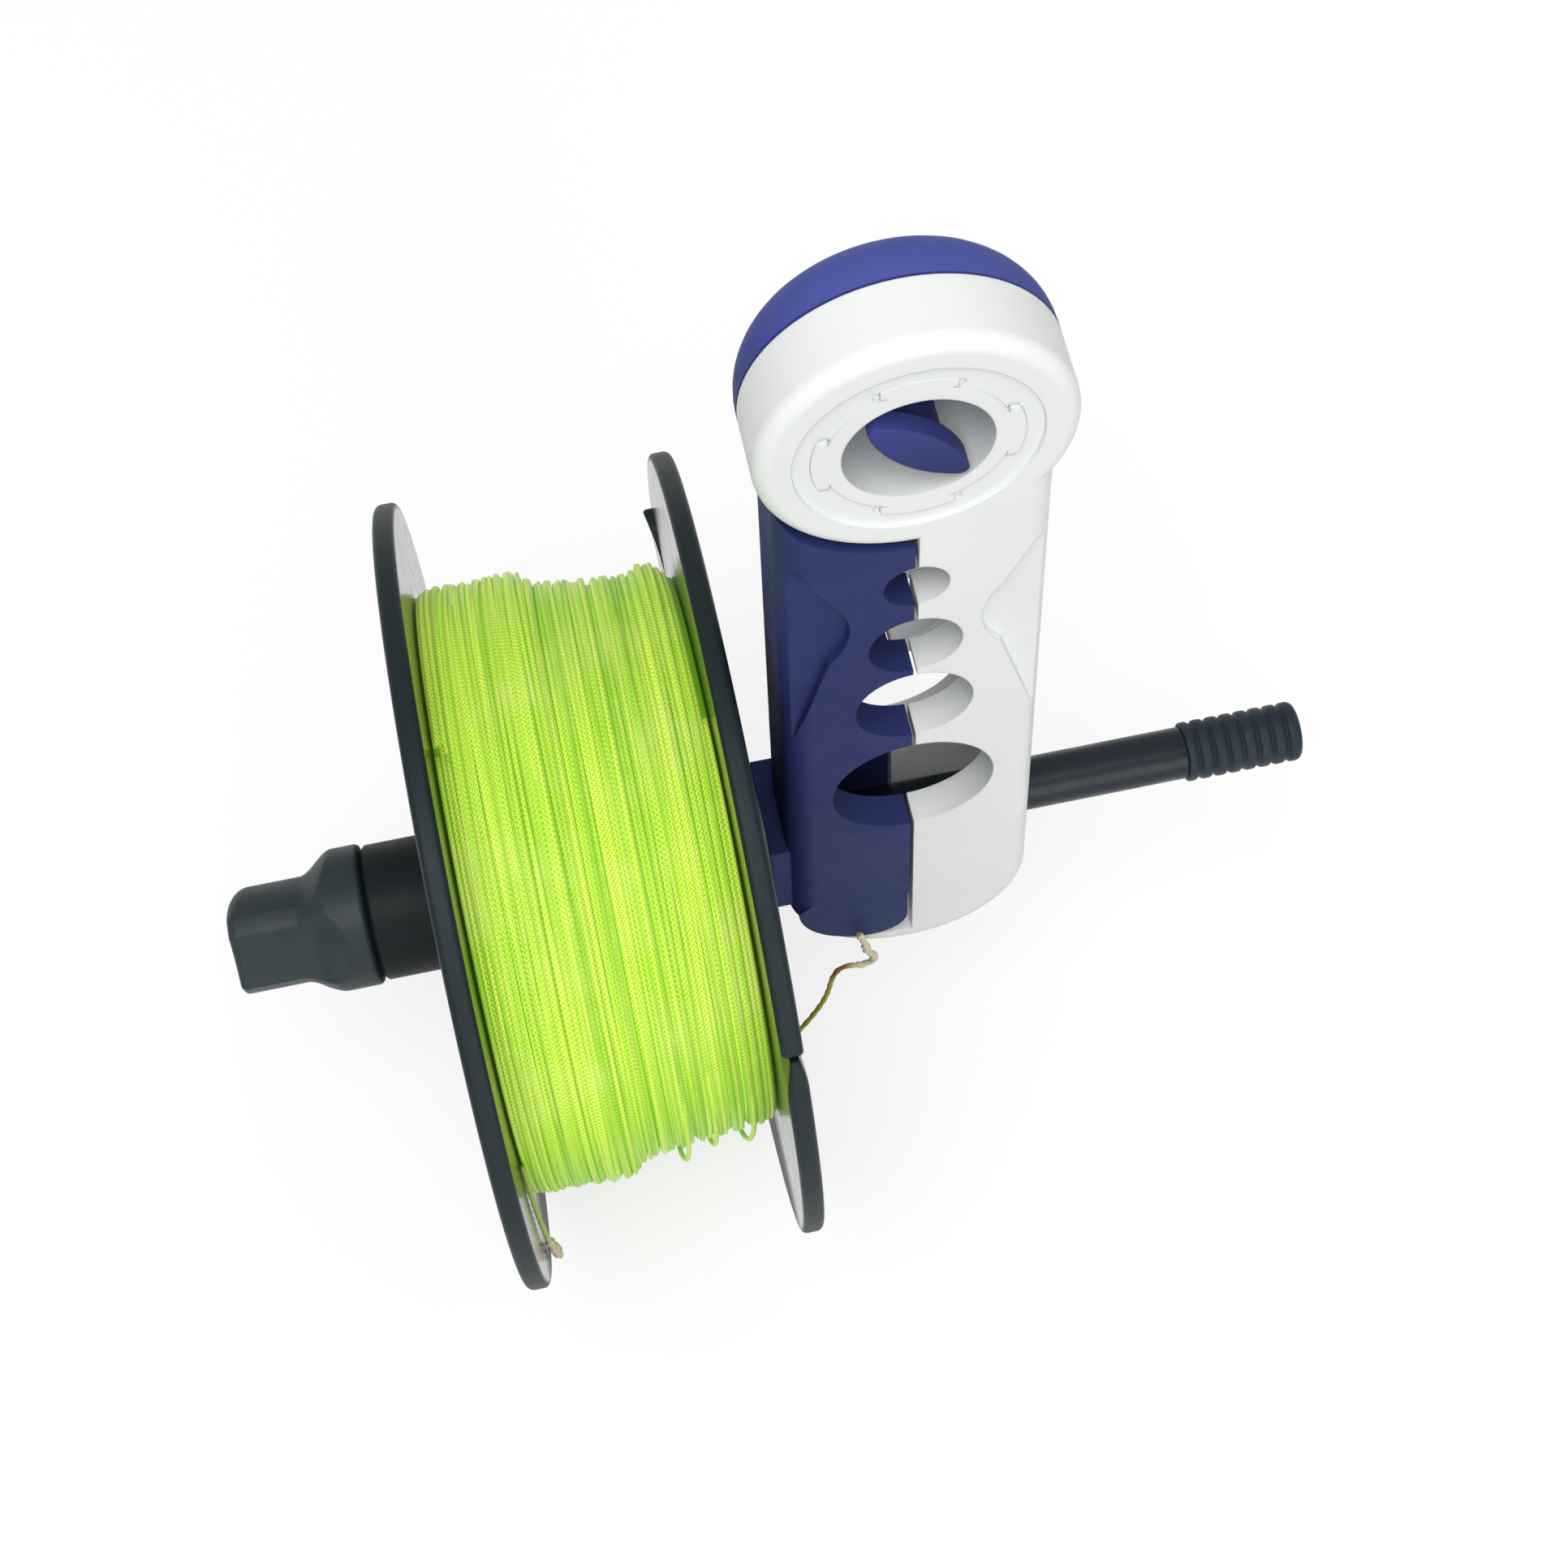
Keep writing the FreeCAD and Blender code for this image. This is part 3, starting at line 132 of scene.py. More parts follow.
def grid_faces(rows: int, columns: int, close_rows: bool = False, close_columns: bool = True) -> np.ndarray:
    """Four-cornered faces between neighbouring rows and columns of a grid of points.

    Args:
        rows: number of rows in the grid.
        columns: number of points in each row.
        close_rows: join the last row to the first.
        close_columns: join the last column to the first.

    Returns:
        Array of shape (faces, 4) with point numbers.
    """
    row = np.arange(rows if close_rows else rows - 1)[:, None]
    column = np.arange(columns if close_columns else columns - 1)[None, :]
    next_row = (row + 1) % rows
    next_column = (column + 1) % columns
    corners = (row, column), (row, next_column), (next_row, next_column), (next_row, column)
    flat = [np.broadcast_to(a * columns + b, (row.size, column.size)).ravel() for a, b in corners]
    return np.stack(flat, axis=1)


def mesh_object(
    name: str,
    points: np.ndarray,
    quads: np.ndarray,
    caps: tuple[np.ndarray, ...] = (),
    uv: np.ndarray | None = None,
) -> Piece:
    """Makes a smooth-shaded object at the origin from points, four-cornered faces and end caps.

    Args:
        name: name of the object.
        points: array (n, 3) in metres.
        quads: array (m, 4) of point numbers.
        caps: one array of point numbers for each end face.
        uv: array (n, 2) with one place on the map for each point, in metres along the surface.

    Returns:
        The new object, linked to the scene.
    """
    corners = np.concatenate([quads.ravel(), *caps]).astype(np.int32)
    counts = np.concatenate([np.full(len(quads), 4), [len(cap) for cap in caps]]).astype(np.int32)
    starts = (np.cumsum(counts) - counts).astype(np.int32)
    mesh = bpy.data.meshes.new(name)
    mesh.vertices.add(len(points))
    mesh.vertices.foreach_set("co", points.astype(np.float32).ravel())
    mesh.loops.add(len(corners))
    mesh.polygons.add(len(counts))
    mesh.polygons.foreach_set("loop_start", starts)
    mesh.polygons.foreach_set("vertices", corners)
    mesh.update(calc_edges=True)
    mesh.validate()
    mesh.shade_smooth()
    if uv is not None:
        layer = mesh.uv_layers.new(name="surface")
        layer.data.foreach_set("uv", uv[corners].astype(np.float32).ravel())
    piece = bpy.data.objects.new(name, mesh)
    bpy.context.scene.collection.objects.link(piece)
    return piece


def turned_skin(
    name: str, x: np.ndarray, radius: np.ndarray, angle: np.ndarray | None = None
) -> Piece:
    """Closed skin round the spindle, whose radius may change along it and round it.

    The point of a row at angle a and radius r is (x, r sin a, r cos a) from the spindle's height.

    Args:
        name: name of the object.
        x: array (rows,) or (rows, steps) of places along the spindle in metres.
        radius: array (rows, steps) of distances from the spindle; the last row joins the first.
        angle: array (rows, steps) of angles, even steps where none is given.

    Returns:
        The skin.
    """
    rows, steps = radius.shape
    if angle is None:
        angle = np.broadcast_to(np.linspace(0.0, TURN, steps, endpoint=False), radius.shape)
    wide = np.broadcast_to(x[:, None] if x.ndim == 1 else x, radius.shape)
    points = np.stack([wide, radius * np.sin(angle), radius * np.cos(angle) + SPINDLE_HEIGHT], axis=2)
    along = np.concatenate([[0.0], np.cumsum(np.hypot(np.diff(wide[:, 0]), np.diff(radius[:, 0])))])
    uv = np.stack([np.broadcast_to(along[:, None], radius.shape), radius * angle], axis=2)
    faces = grid_faces(rows, steps, close_rows=True)
    return mesh_object(name, points.reshape(-1, 3), faces, uv=uv.reshape(-1, 2))


def lathe(name: str, profile: np.ndarray, segments: int = 144) -> Piece:
    """Turns a closed outline about the spindle.

    Args:
        name: name of the object.
        profile: array (n, 2) of x and radius in metres, counter-clockwise in the plane of x and radius.
        segments: number of steps round the axis.

    Returns:
        The turned object.
    """
    return turned_skin(name, profile[:, 0], np.repeat(profile[:, 1, None], segments, axis=1))


def tube(
    name: str,
    path: np.ndarray,
    outward: np.ndarray,
    radius: np.ndarray,
    sides: int,
    twist: float = 0.0,
    plies: int = 0,
    groove: float = 0.0,
) -> Piece:
    """Carries a round section along a path: path + r (cos a * outward + sin a * sideways), with closed ends.

    The sideways direction is the cross product of the path's tangent and outward, and the seam of the map
    lies opposite to outward. Plies make the section a clover whose lobes turn with the distance along it.

    Args:
        name: name of the object.
        path: array (n, 3) of points in metres.
        outward: array (n, 3) of directions that are not along the path.
        radius: radius at each point of the path.
        sides: number of points round the section.
        twist: turns of the plies in each metre.
        plies: number of plies, 0 for a round section.
        groove: depth of the groove between plies as a share of the radius.

    Returns:
        The tube.
    """
    tangent = np.gradient(path, axis=0)
    tangent /= np.linalg.norm(tangent, axis=1, keepdims=True)
    outward = outward - tangent * np.sum(outward * tangent, axis=1, keepdims=True)
    outward /= np.linalg.norm(outward, axis=1, keepdims=True)
    sideways = np.cross(tangent, outward)
    steps = np.linalg.norm(np.diff(path, axis=0), axis=1)
    along = np.concatenate([[0.0], np.cumsum(steps)])
    angle = np.linspace(0.5 * TURN, 1.5 * TURN, sides, endpoint=False)
    lobes = 1.0 + groove * np.cos(plies * angle[None, :] - TURN * twist * along[:, None]) * bool(plies)
    reach = radius[:, None] * lobes
    ring = (
        path[:, None, :]
        + (reach * np.cos(angle))[:, :, None] * outward[:, None, :]
        + (reach * np.sin(angle))[:, :, None] * sideways[:, None, :]
    )
    first_cap = np.arange(sides)[::-1]
    last_cap = np.arange(sides) + (len(path) - 1) * sides
    surface = np.broadcast_arrays(along[:, None], angle * float(np.mean(radius)))
    uv = np.stack(surface, axis=2).reshape(-1, 2)
    return mesh_object(name, ring.reshape(-1, 3), grid_faces(len(path), sides), (first_cap, last_cap), uv)


def smooth_noise(rng: np.random.Generator, count: int, spacing: float, reach: float) -> np.ndarray:
    """Random curve: cosine-eased values between knots that lie a fixed number of samples apart.

    Args:
        rng: seeded source of numbers.
        count: number of samples.
        spacing: samples between two knots.
        reach: greatest size of a value.

    Returns:
        Array of count values between -reach and reach.
    """
    knots = rng.uniform(-reach, reach, int(count / spacing) + 3)
    place = np.arange(count) / spacing
    first = place.astype(int)
    ease = 0.5 - 0.5 * np.cos(np.pi * (place - first))
    return knots[first] * (1.0 - ease) + knots[first + 1] * ease


# ---------------------------------------------------------------- node tools


@dataclass
class NodeBoard:
    """Adds nodes to a tree and joins them."""

    tree: bpy.types.NodeTree

    def feed(self, socket: Socket, value: object) -> None:
        """Links a socket to an output, or sets its own value."""
        if isinstance(value, Socket):
            self.tree.links.new(value, socket)
        else:
            socket.default_value = value

    def add(self, kind: str, settings: dict | None = None, inputs: dict | None = None) -> bpy.types.Node:
        """Adds a node.

        Args:
            kind: type name of the node.
            settings: properties to set on it.
            inputs: values or outputs for its inputs, by name or number.

        Returns:
            The node.
        """
        node = self.tree.nodes.new(kind)
        for name, value in (settings or {}).items():
            setattr(node, name, value)
        for name, value in (inputs or {}).items():
            self.feed(node.inputs[name], value)
        return node

    def maths(self, operation: str, *values: object) -> Socket:
        """Result of a Math node."""
        node = self.add("ShaderNodeMath", {"operation": operation}, dict(enumerate(values)))
        return node.outputs[0]

    def times(self, first: object, second: object) -> Socket:
        """Product of two values."""
        return self.maths("MULTIPLY", first, second)

    def noise(self, vector: object, scale: object, detail: float = 3.0, rough: float = 0.5) -> Socket:
        """Value of a noise texture."""
        inputs = {"Vector": vector, "Scale": scale, "Detail": detail, "Roughness": rough}
        return self.add("ShaderNodeTexNoise", None, inputs).outputs["Fac"]

    def spread(
        self, value: object, low: object, high: object, out_low: object = 0.0, out_high: object = 1.0
    ) -> Socket:
        """Value carried from one range to another and held inside it."""
        node = self.add(
            "ShaderNodeMapRange",
            {"clamp": True},
            {"Value": value, "From Min": low, "From Max": high, "To Min": out_low, "To Max": out_high},
        )
        return node.outputs["Result"]

    def blend(self, share: object, first: object, second: object) -> Socket:
        """Colour between two colours.

        Args:
            share: share of the second colour.
            first: colour where the share is 0.
            second: colour where the share is 1.

        Returns:
            The output with the colour.
        """
        node = self.add("ShaderNodeMix", {"data_type": "RGBA"})
        self.feed(node.inputs["Factor"], share)
        self.feed(node.inputs[6], first)
        self.feed(node.inputs[7], second)
        return node.outputs[2]

    def stretched(self, vector: object, scale: tuple[float, float, float]) -> Socket:
        """Vector with each axis scaled."""
        node = self.add("ShaderNodeMapping", None, {"Vector": vector, "Scale": scale})
        return node.outputs["Vector"]

    def axis(self, vector: object, name: str) -> Socket:
        """One coordinate of a vector, by its letter."""
        return self.add("ShaderNodeSeparateXYZ", None, {"Vector": vector}).outputs[name]

    def bump(self, height: object, depth: float, strength: float, normal: object = None) -> Socket:
        """Normal of a relief.

        Args:
            height: output that holds the relief, from 0 to 1.
            depth: distance in metres from its lowest to its highest point.
            strength: share of the relief that shows.
            normal: output with the normal under it, where the surface's own isn't meant.

        Returns:
            The output with the new normal.
        """
        inputs = {"Strength": strength, "Distance": depth, "Height": height}
        if normal is not None:
            inputs["Normal"] = normal
        return self.add("ShaderNodeBump", None, inputs).outputs["Normal"]


def effect_group(
    name: str, inputs: dict[str, str], outputs: dict[str, str]
) -> tuple[bpy.types.NodeTree, NodeBoard, bpy.types.Node, bpy.types.Node]:
    """Empty node group with named sockets.

    Args:
        name: name of the group.
        inputs: socket name to kind, Float, Vector or Color.
        outputs: the same for what it puts out.

    Returns:
        The group, a board on it, its input node and its output node.
    """
    group = bpy.data.node_groups.new(name, "ShaderNodeTree")
    for direction, sockets in (("INPUT", inputs), ("OUTPUT", outputs)):
        for label, kind in sockets.items():
            group.interface.new_socket(name=label, in_out=direction, socket_type=f"NodeSocket{kind}")
    board = NodeBoard(group)
    return group, board, board.add("NodeGroupInput"), board.add("NodeGroupOutput")


def mould_grain() -> bpy.types.NodeTree:
    """Fine spark-eroded grain, slow colour drift and slow gloss drift of a moulded part."""
    group, board, given, result = effect_group(
        "mould_grain",
        {"Vector": "Vector", "Scale": "Float"},
        {"Height": "Float", "Tint": "Float", "Gloss": "Float"},
    )
    vector, scale = given.outputs["Vector"], given.outputs["Scale"]
    slow_share, middle_share = 0.02, 0.12
    even = (0.3, 0.7)
    fine = board.noise(vector, scale, 4.0, 0.6)
    slow = board.noise(vector, board.times(scale, slow_share), 2.0, 0.5)
    middle = board.noise(vector, board.times(scale, middle_share), 3.0, 0.55)
    board.feed(result.inputs["Height"], fine)
    board.feed(result.inputs["Tint"], board.spread(slow, *even))
    board.feed(result.inputs["Gloss"], board.spread(middle, *even))
    return group


def hand_scuffs() -> bpy.types.NodeTree:
    """Thin rubbed scratches and small dull specks from handling."""
    group, board, given, result = effect_group(
        "hand_scuffs", {"Vector": "Vector", "Amount": "Float"}, {"Mask": "Float"}
    )
    vector, amount = given.outputs["Vector"], given.outputs["Amount"]
    scratch_grids = ((120.0, 2600.0, 2200.0), (2400.0, 2000.0, 150.0))
    scratch_edge, speck_edge, patch_edge = (0.76, 0.81), (0.78, 0.84), (0.45, 0.65)
    speck_scale, patch_scale = 1900.0, 45.0
    along, upright = (
        board.spread(board.noise(board.stretched(vector, grid), 1.0, 2.0, 0.4), *scratch_edge)
        for grid in scratch_grids
    )
    speck = board.spread(board.noise(vector, speck_scale, 2.0, 0.5), *speck_edge)
    patch = board.spread(board.noise(vector, patch_scale, 2.0), *patch_edge)
    joined = board.maths("MAXIMUM", board.maths("MAXIMUM", along, upright), speck)
    board.feed(result.inputs["Mask"], board.times(board.times(joined, patch), amount))
    return group


def plaited_line() -> bpy.types.NodeTree:
    """Plait of a braided line on the map's own metres: two crossed sets of slanting picks."""
    group, board, given, result = effect_group(
        "plaited_line",
        {"Vector": "Vector", "Pick": "Float"},
        {"Height": "Float", "Crown": "Float", "Drift": "Float", "Strand": "Float"},
    )
    vector, pick = given.outputs["Vector"], given.outputs["Pick"]
    along, across = board.axis(vector, "X"), board.axis(vector, "Y")
    slope, crown_power = 1.15, 3.0
    drift_grid, strand_grid = (55.0, 3.0, 1.0), (11.0, 3.0, 1.0)
    drift_edge, strand_edge = (0.35, 0.72), (0.44, 0.60)
    waves = []
    for sign in (1.0, -1.0):
        slant = board.maths("ADD", along, board.times(across, slope * sign))
        phase = board.times(board.maths("DIVIDE", slant, pick), TURN)
        waves.append(board.maths("SINE", phase))
    height = board.spread(board.maths("MAXIMUM", *waves), -1.0, 1.0)
    drift = board.noise(board.stretched(vector, drift_grid), 1.0, 3.0, 0.6)
    strand = board.noise(board.stretched(vector, strand_grid), 1.0, 2.0, 0.6)
    board.feed(result.inputs["Height"], height)
    board.feed(result.inputs["Crown"], board.maths("POWER", height, crown_power))
    board.feed(result.inputs["Drift"], board.spread(drift, *drift_edge))
    board.feed(result.inputs["Strand"], board.spread(strand, *strand_edge))
    return group


class Effect(Enum):
    """Shared effects, each built once."""

    GRAIN = "mould_grain"
    SCUFFS = "hand_scuffs"
    PLAIT = "plaited_line"

    def tree(self) -> bpy.types.NodeTree:
        """The group of this effect, built at its first use."""
        builders = {Effect.GRAIN: mould_grain, Effect.SCUFFS: hand_scuffs, Effect.PLAIT: plaited_line}
        return bpy.data.node_groups.get(self.value) or builders[self]()


def place_effect(board: NodeBoard, effect: Effect, inputs: dict) -> bpy.types.Node:
    """Puts a shared effect in a material with its own values.

    Args:
        board: board of the material.
        effect: the effect.
        inputs: values or outputs for its inputs, by name.

    Returns:
        The group's node.
    """
    node = board.add("ShaderNodeGroup", {"node_tree": effect.tree()}, None)
    for name, value in inputs.items():
        board.feed(node.inputs[name], value)
    return node


Colour = tuple[float, float, float, float]


def rgb(red: float, green: float, blue: float) -> Colour:
    """Colour written as 0 to 255 screen values, turned to the linear values that a shader takes.

    Args:
        red: red as a screen shows it.
        green: green as a screen shows it.
        blue: blue as a screen shows it.

    Returns:
        Linear red, green, blue and a full alpha.
    """
    screen = np.array([red, green, blue]) / 255.0
    linear = np.where(screen <= 0.04045, screen / 12.92, ((screen + 0.055) / 1.055) ** 2.4)
    return (*linear.tolist(), 1.0)


def new_material(name: str) -> tuple[bpy.types.Material, NodeBoard, bpy.types.Node]:
    """Material with an empty board and its surface shader.

    Args:
        name: name of the material.

    Returns:
        The material, a board on its tree and the shader.
    """
    material = bpy.data.materials.new(name)
    material.use_nodes = True
    material.node_tree.nodes.clear()
    board = NodeBoard(material.node_tree)
    shader = board.add("ShaderNodeBsdfPrincipled")
    output = board.add("ShaderNodeOutputMaterial")
    board.feed(output.inputs["Surface"], shader.outputs["BSDF"])
    return material, board, shader


@dataclass(frozen=True)
class MouldedPlastic:
    """Moulded plastic: fine grain, slight drift of colour and gloss, handling scuffs and soft edges."""

    name: str
    colour: Colour
    drift: Colour
    scuff_colour: Colour = rgb(80, 90, 93)
    roughness: float = 0.5
    gloss_drift: float = 0.1
    grain: float = 2600.0
    grain_strength: float = 0.35
    depth: float = 0.02 * MM
    scuffs: float = 0.2
    scuff_dulling: float = 0.2
    edge: float = 0.22 * MM
    edge_samples: int = 4
    glow: float = 0.0
    glow_reach: float = 1.2 * MM
    glow_tone: tuple[float, float, float] = (1.0, 0.95, 0.9)
    shine: float = 0.3

    def base(self, board: NodeBoard, place: Socket, tint: Socket) -> Socket:
        """Colour before scuffs: two close tones that drift slowly."""
        return board.blend(tint, self.colour, self.drift)

    def roughen(self, board: NodeBoard, place: Socket, rough: Socket) -> Socket:
        """Roughness with the wear of the finish; plain here."""
        return rough

    def material(self) -> bpy.types.Material:
        """Builds the material."""
        material, board, shader = new_material(self.name)
        place = board.add("ShaderNodeTexCoord").outputs["Object"]
        grain = place_effect(board, Effect.GRAIN, {"Vector": place, "Scale": self.grain})
        scuffs = place_effect(board, Effect.SCUFFS, {"Vector": place, "Amount": self.scuffs})
        base = self.base(board, place, grain.outputs["Tint"])
        board.feed(shader.inputs["Base Color"], board.blend(scuffs.outputs["Mask"], base, self.scuff_colour))
        glossy, dull = self.roughness - self.gloss_drift, self.roughness + self.gloss_drift
        rough = self.roughen(board, place, board.spread(grain.outputs["Gloss"], 0.0, 1.0, glossy, dull))
        worn = board.maths("ADD", rough, board.times(scuffs.outputs["Mask"], self.scuff_dulling))
        board.feed(shader.inputs["Roughness"], worn)
        edge = board.add("ShaderNodeBevel", {"samples": self.edge_samples}, {"Radius": self.edge})
        relief = board.bump(grain.outputs["Height"], self.depth, self.grain_strength, edge.outputs[0])
        board.feed(shader.inputs["Normal"], relief)
        shader.inputs["Specular IOR Level"].default_value = self.shine
        if self.glow:
            shader.inputs["Subsurface Weight"].default_value = self.glow
            shader.inputs["Subsurface Radius"].default_value = self.glow_tone
            shader.inputs["Subsurface Scale"].default_value = self.glow_reach
        return material


@dataclass(frozen=True)
class TopLitPlastic(MouldedPlastic):
    """Moulded plastic made paler at its upper end by painted top light, and greyer towards its lower end."""

    # painted top light: the pale colour that the upper end turns to
    lit_top: Colour = (1.0, 1.0, 1.0, 1.0)
    # greyer colour that the lower end turns to
    low_grey: Colour = (0.5, 0.5, 0.5, 1.0)
    sun_line: tuple[float, float] = (0.030, 0.048)
    dust_line: tuple[float, float] = (-0.020, -0.062)

    def base(self, board: NodeBoard, place: Socket, tint: Socket) -> Socket:
        """Colour before scuffs: the two tones, made paler by painted top light above one height and greyer
        below a lower one.

        Args:
            board: board of the material.
            place: output with the place on the object.
            tint: output with the share of the second tone.

        Returns:
            The output with the colour.
        """
        height = board.axis(place, "Z")
        tones = board.blend(tint, self.colour, self.drift)
        # painted top light: above this height the tones turn to the pale lit colour
        lit_tones = board.blend(board.spread(height, *self.sun_line), tones, self.lit_top)
        # greyer towards the bottom
        return board.blend(board.spread(height, *self.dust_line), lit_tones, self.low_grey)


@dataclass(frozen=True)
class FlangePlastic(MouldedPlastic):
    """Polished moulding whose rim is rubbed matt and whose low side is dull with dust."""

    rim_line: tuple[float, float] = (0.0466, 0.0473)
    rim_dulling: float = 0.38
    dull_line: tuple[float, float] = (-0.066, -0.078)
    dust_dulling: float = 0.34

    def roughen(self, board: NodeBoard, place: Socket, rough: Socket) -> Socket:
        """Roughness raised outside the rim line, by the distance from the spindle, and below the dull line.

        Args:
            board: board of the material.
            place: output with the place on the object.
            rough: output with the roughness of the fresh moulding.

        Returns:
            The output with the roughness.
        """
        across, upward = board.axis(place, "Y"), board.axis(place, "Z")
        height = board.maths("SUBTRACT", upward, SPINDLE_HEIGHT)
        squares = (board.times(side, side) for side in (across, height))
        distance = board.maths("SQRT", board.maths("ADD", *squares))
        rim = board.spread(distance, *self.rim_line, 0.0, self.rim_dulling)
        low = board.spread(upward, *self.dull_line, 0.0, self.dust_dulling)
        return board.maths("ADD", rough, board.maths("MAXIMUM", rim, low))


@dataclass(frozen=True)
class BraidedLine:
    """Braided fishing line: plaited picks, faded patches and stretches, painted highlights on the pick tops
    that grow upwards with painted top light, painted shade in the grooves and towards the low side, and a
    painted glow.
    """

    name: str
    colour: Colour = rgb(176, 230, 10)
    # painted highlight: pale colour on the tops of the picks
    crown: Colour = rgb(244, 255, 120)
    # painted shade: darker colour of the grooves between picks
    groove: Colour = rgb(104, 182, 0)
    faded: Colour = rgb(232, 234, 150)
    fading: float = 0.6
    # darker green for random strands and for the painted shade on the low side
    deep: Colour = rgb(104, 186, 0)
    pick: float = 0.62 * MM
    pick_depth: float = 0.03 * MM
    pick_strength: float = 0.4
    groove_line: tuple[float, float] = (-0.9, 1.0)
    # painted glow: emission strength of the line's own colour
    painted_glow: float = 0.16
    shine: float = 0.1
    fuzz: float = 0.15
    gloss: tuple[float, float] = (0.3, 0.5)
    worn_scale: float = 70.0
    worn_edge: tuple[float, float] = (0.48, 0.68)
    strand_share: float = 0.62
    stretch_share: float = 0.85
    # painted top light: heights over which the pale pick tops and faded patches grow to full strength
    bleach_line: tuple[float, float] = (-0.085, -0.035)
    least_top_light: float = 0.08
    shade_line: tuple[float, float] = (-0.100, -0.062)
    shade_share: float = 0.55
    stretches: tuple[tuple[float, float, Colour], ...] = ()

    def material(self) -> bpy.types.Material:
        """Builds the material on the map of the piece, whose unit is a metre along the line."""
        material, board, shader = new_material(self.name)
        place = board.add("ShaderNodeUVMap", {"uv_map": "surface"}).outputs["UV"]
        plait = place_effect(board, Effect.PLAIT, {"Vector": place, "Pick": self.pick})
        solid = board.add("ShaderNodeTexCoord").outputs["Object"]
        patches = board.noise(solid, self.worn_scale, 3.0, 0.6)
        worn = board.spread(patches, *self.worn_edge, 0.0, self.fading)
        faded = board.times(plait.outputs["Drift"], worn)
        # painted shade: the grooves between picks take the darker groove colour
        body = board.blend(board.spread(plait.outputs["Height"], *self.groove_line), self.groove, self.colour)
        height = board.axis(solid, "Z")
        # painted top light: share that rises with height on the object, lightest on the upper side
        top_light_share = board.spread(height, *self.bleach_line, self.least_top_light, 1.0)
        # painted highlight: the tops of the picks turn towards the pale colour, more so higher up
        lit = board.blend(board.times(plait.outputs["Crown"], top_light_share), body, self.crown)
        strand = board.times(plait.outputs["Strand"], self.strand_share)
        colour_and_light = board.blend(strand, lit, self.deep)
        # faded patches, shown more strongly higher up by the painted top light
        colour_and_light = board.blend(board.times(faded, top_light_share), colour_and_light, self.faded)
        # painted shade: below this height the colour turns to the darker green
        colour_and_light = board.blend(board.spread(height, *self.shade_line, self.shade_share, 0.0), colour_and_light, self.deep)
        along = board.axis(place, "X")
        for start, end, colour in self.stretches:
            share = board.times(board.spread(along, start, end), self.stretch_share)
            colour_and_light = board.blend(share, colour_and_light, colour)
        board.feed(shader.inputs["Base Color"], colour_and_light)
        # painted glow: the line emits its own colour, which lightens its shaded parts
        board.feed(shader.inputs["Emission Color"], colour_and_light)
        board.feed(shader.inputs["Roughness"], board.spread(plait.outputs["Drift"], 0.0, 1.0, *self.gloss))
        relief = board.bump(plait.outputs["Height"], self.pick_depth, self.pick_strength)
        board.feed(shader.inputs["Normal"], relief)
        shader.inputs["Emission Strength"].default_value = self.painted_glow
        shader.inputs["Specular IOR Level"].default_value = self.shine
        shader.inputs["Sheen Weight"].default_value = self.fuzz
        return material


@dataclass(frozen=True)
class Metal:
    """Drawn or turned metal with fine lines along its working direction."""

    name: str
    colour: Colour
    dull: Colour
    roughness: float = 0.3
    lines: tuple[float, float, float] = (4000.0, 300.0, 300.0)
    line_edge: tuple[float, float] = (0.2, 0.8)
    line_depth: float = 0.02 * MM
    line_strength: float = 0.3
    stain_scale: float = 160.0
    stain_edge: tuple[float, float] = (0.45, 0.7)
    polish: float = 0.08
    dulling: float = 0.15

    def material(self) -> bpy.types.Material:
        """Builds the material."""
        material, board, shader = new_material(self.name)
        place = board.add("ShaderNodeTexCoord").outputs["Object"]
        lines = board.noise(board.stretched(place, self.lines), 1.0, 3.0, 0.6)
        stain = board.spread(board.noise(place, self.stain_scale, 3.0), *self.stain_edge)
        glossy, dull = self.roughness - self.polish, self.roughness + self.dulling
        rough = board.spread(lines, *self.line_edge, glossy, dull)
        board.feed(shader.inputs["Base Color"], board.blend(stain, self.colour, self.dull))
        board.feed(shader.inputs["Roughness"], rough)
        board.feed(shader.inputs["Normal"], board.bump(lines, self.line_depth, self.line_strength))
        shader.inputs["Metallic"].default_value = 1.0
        return material


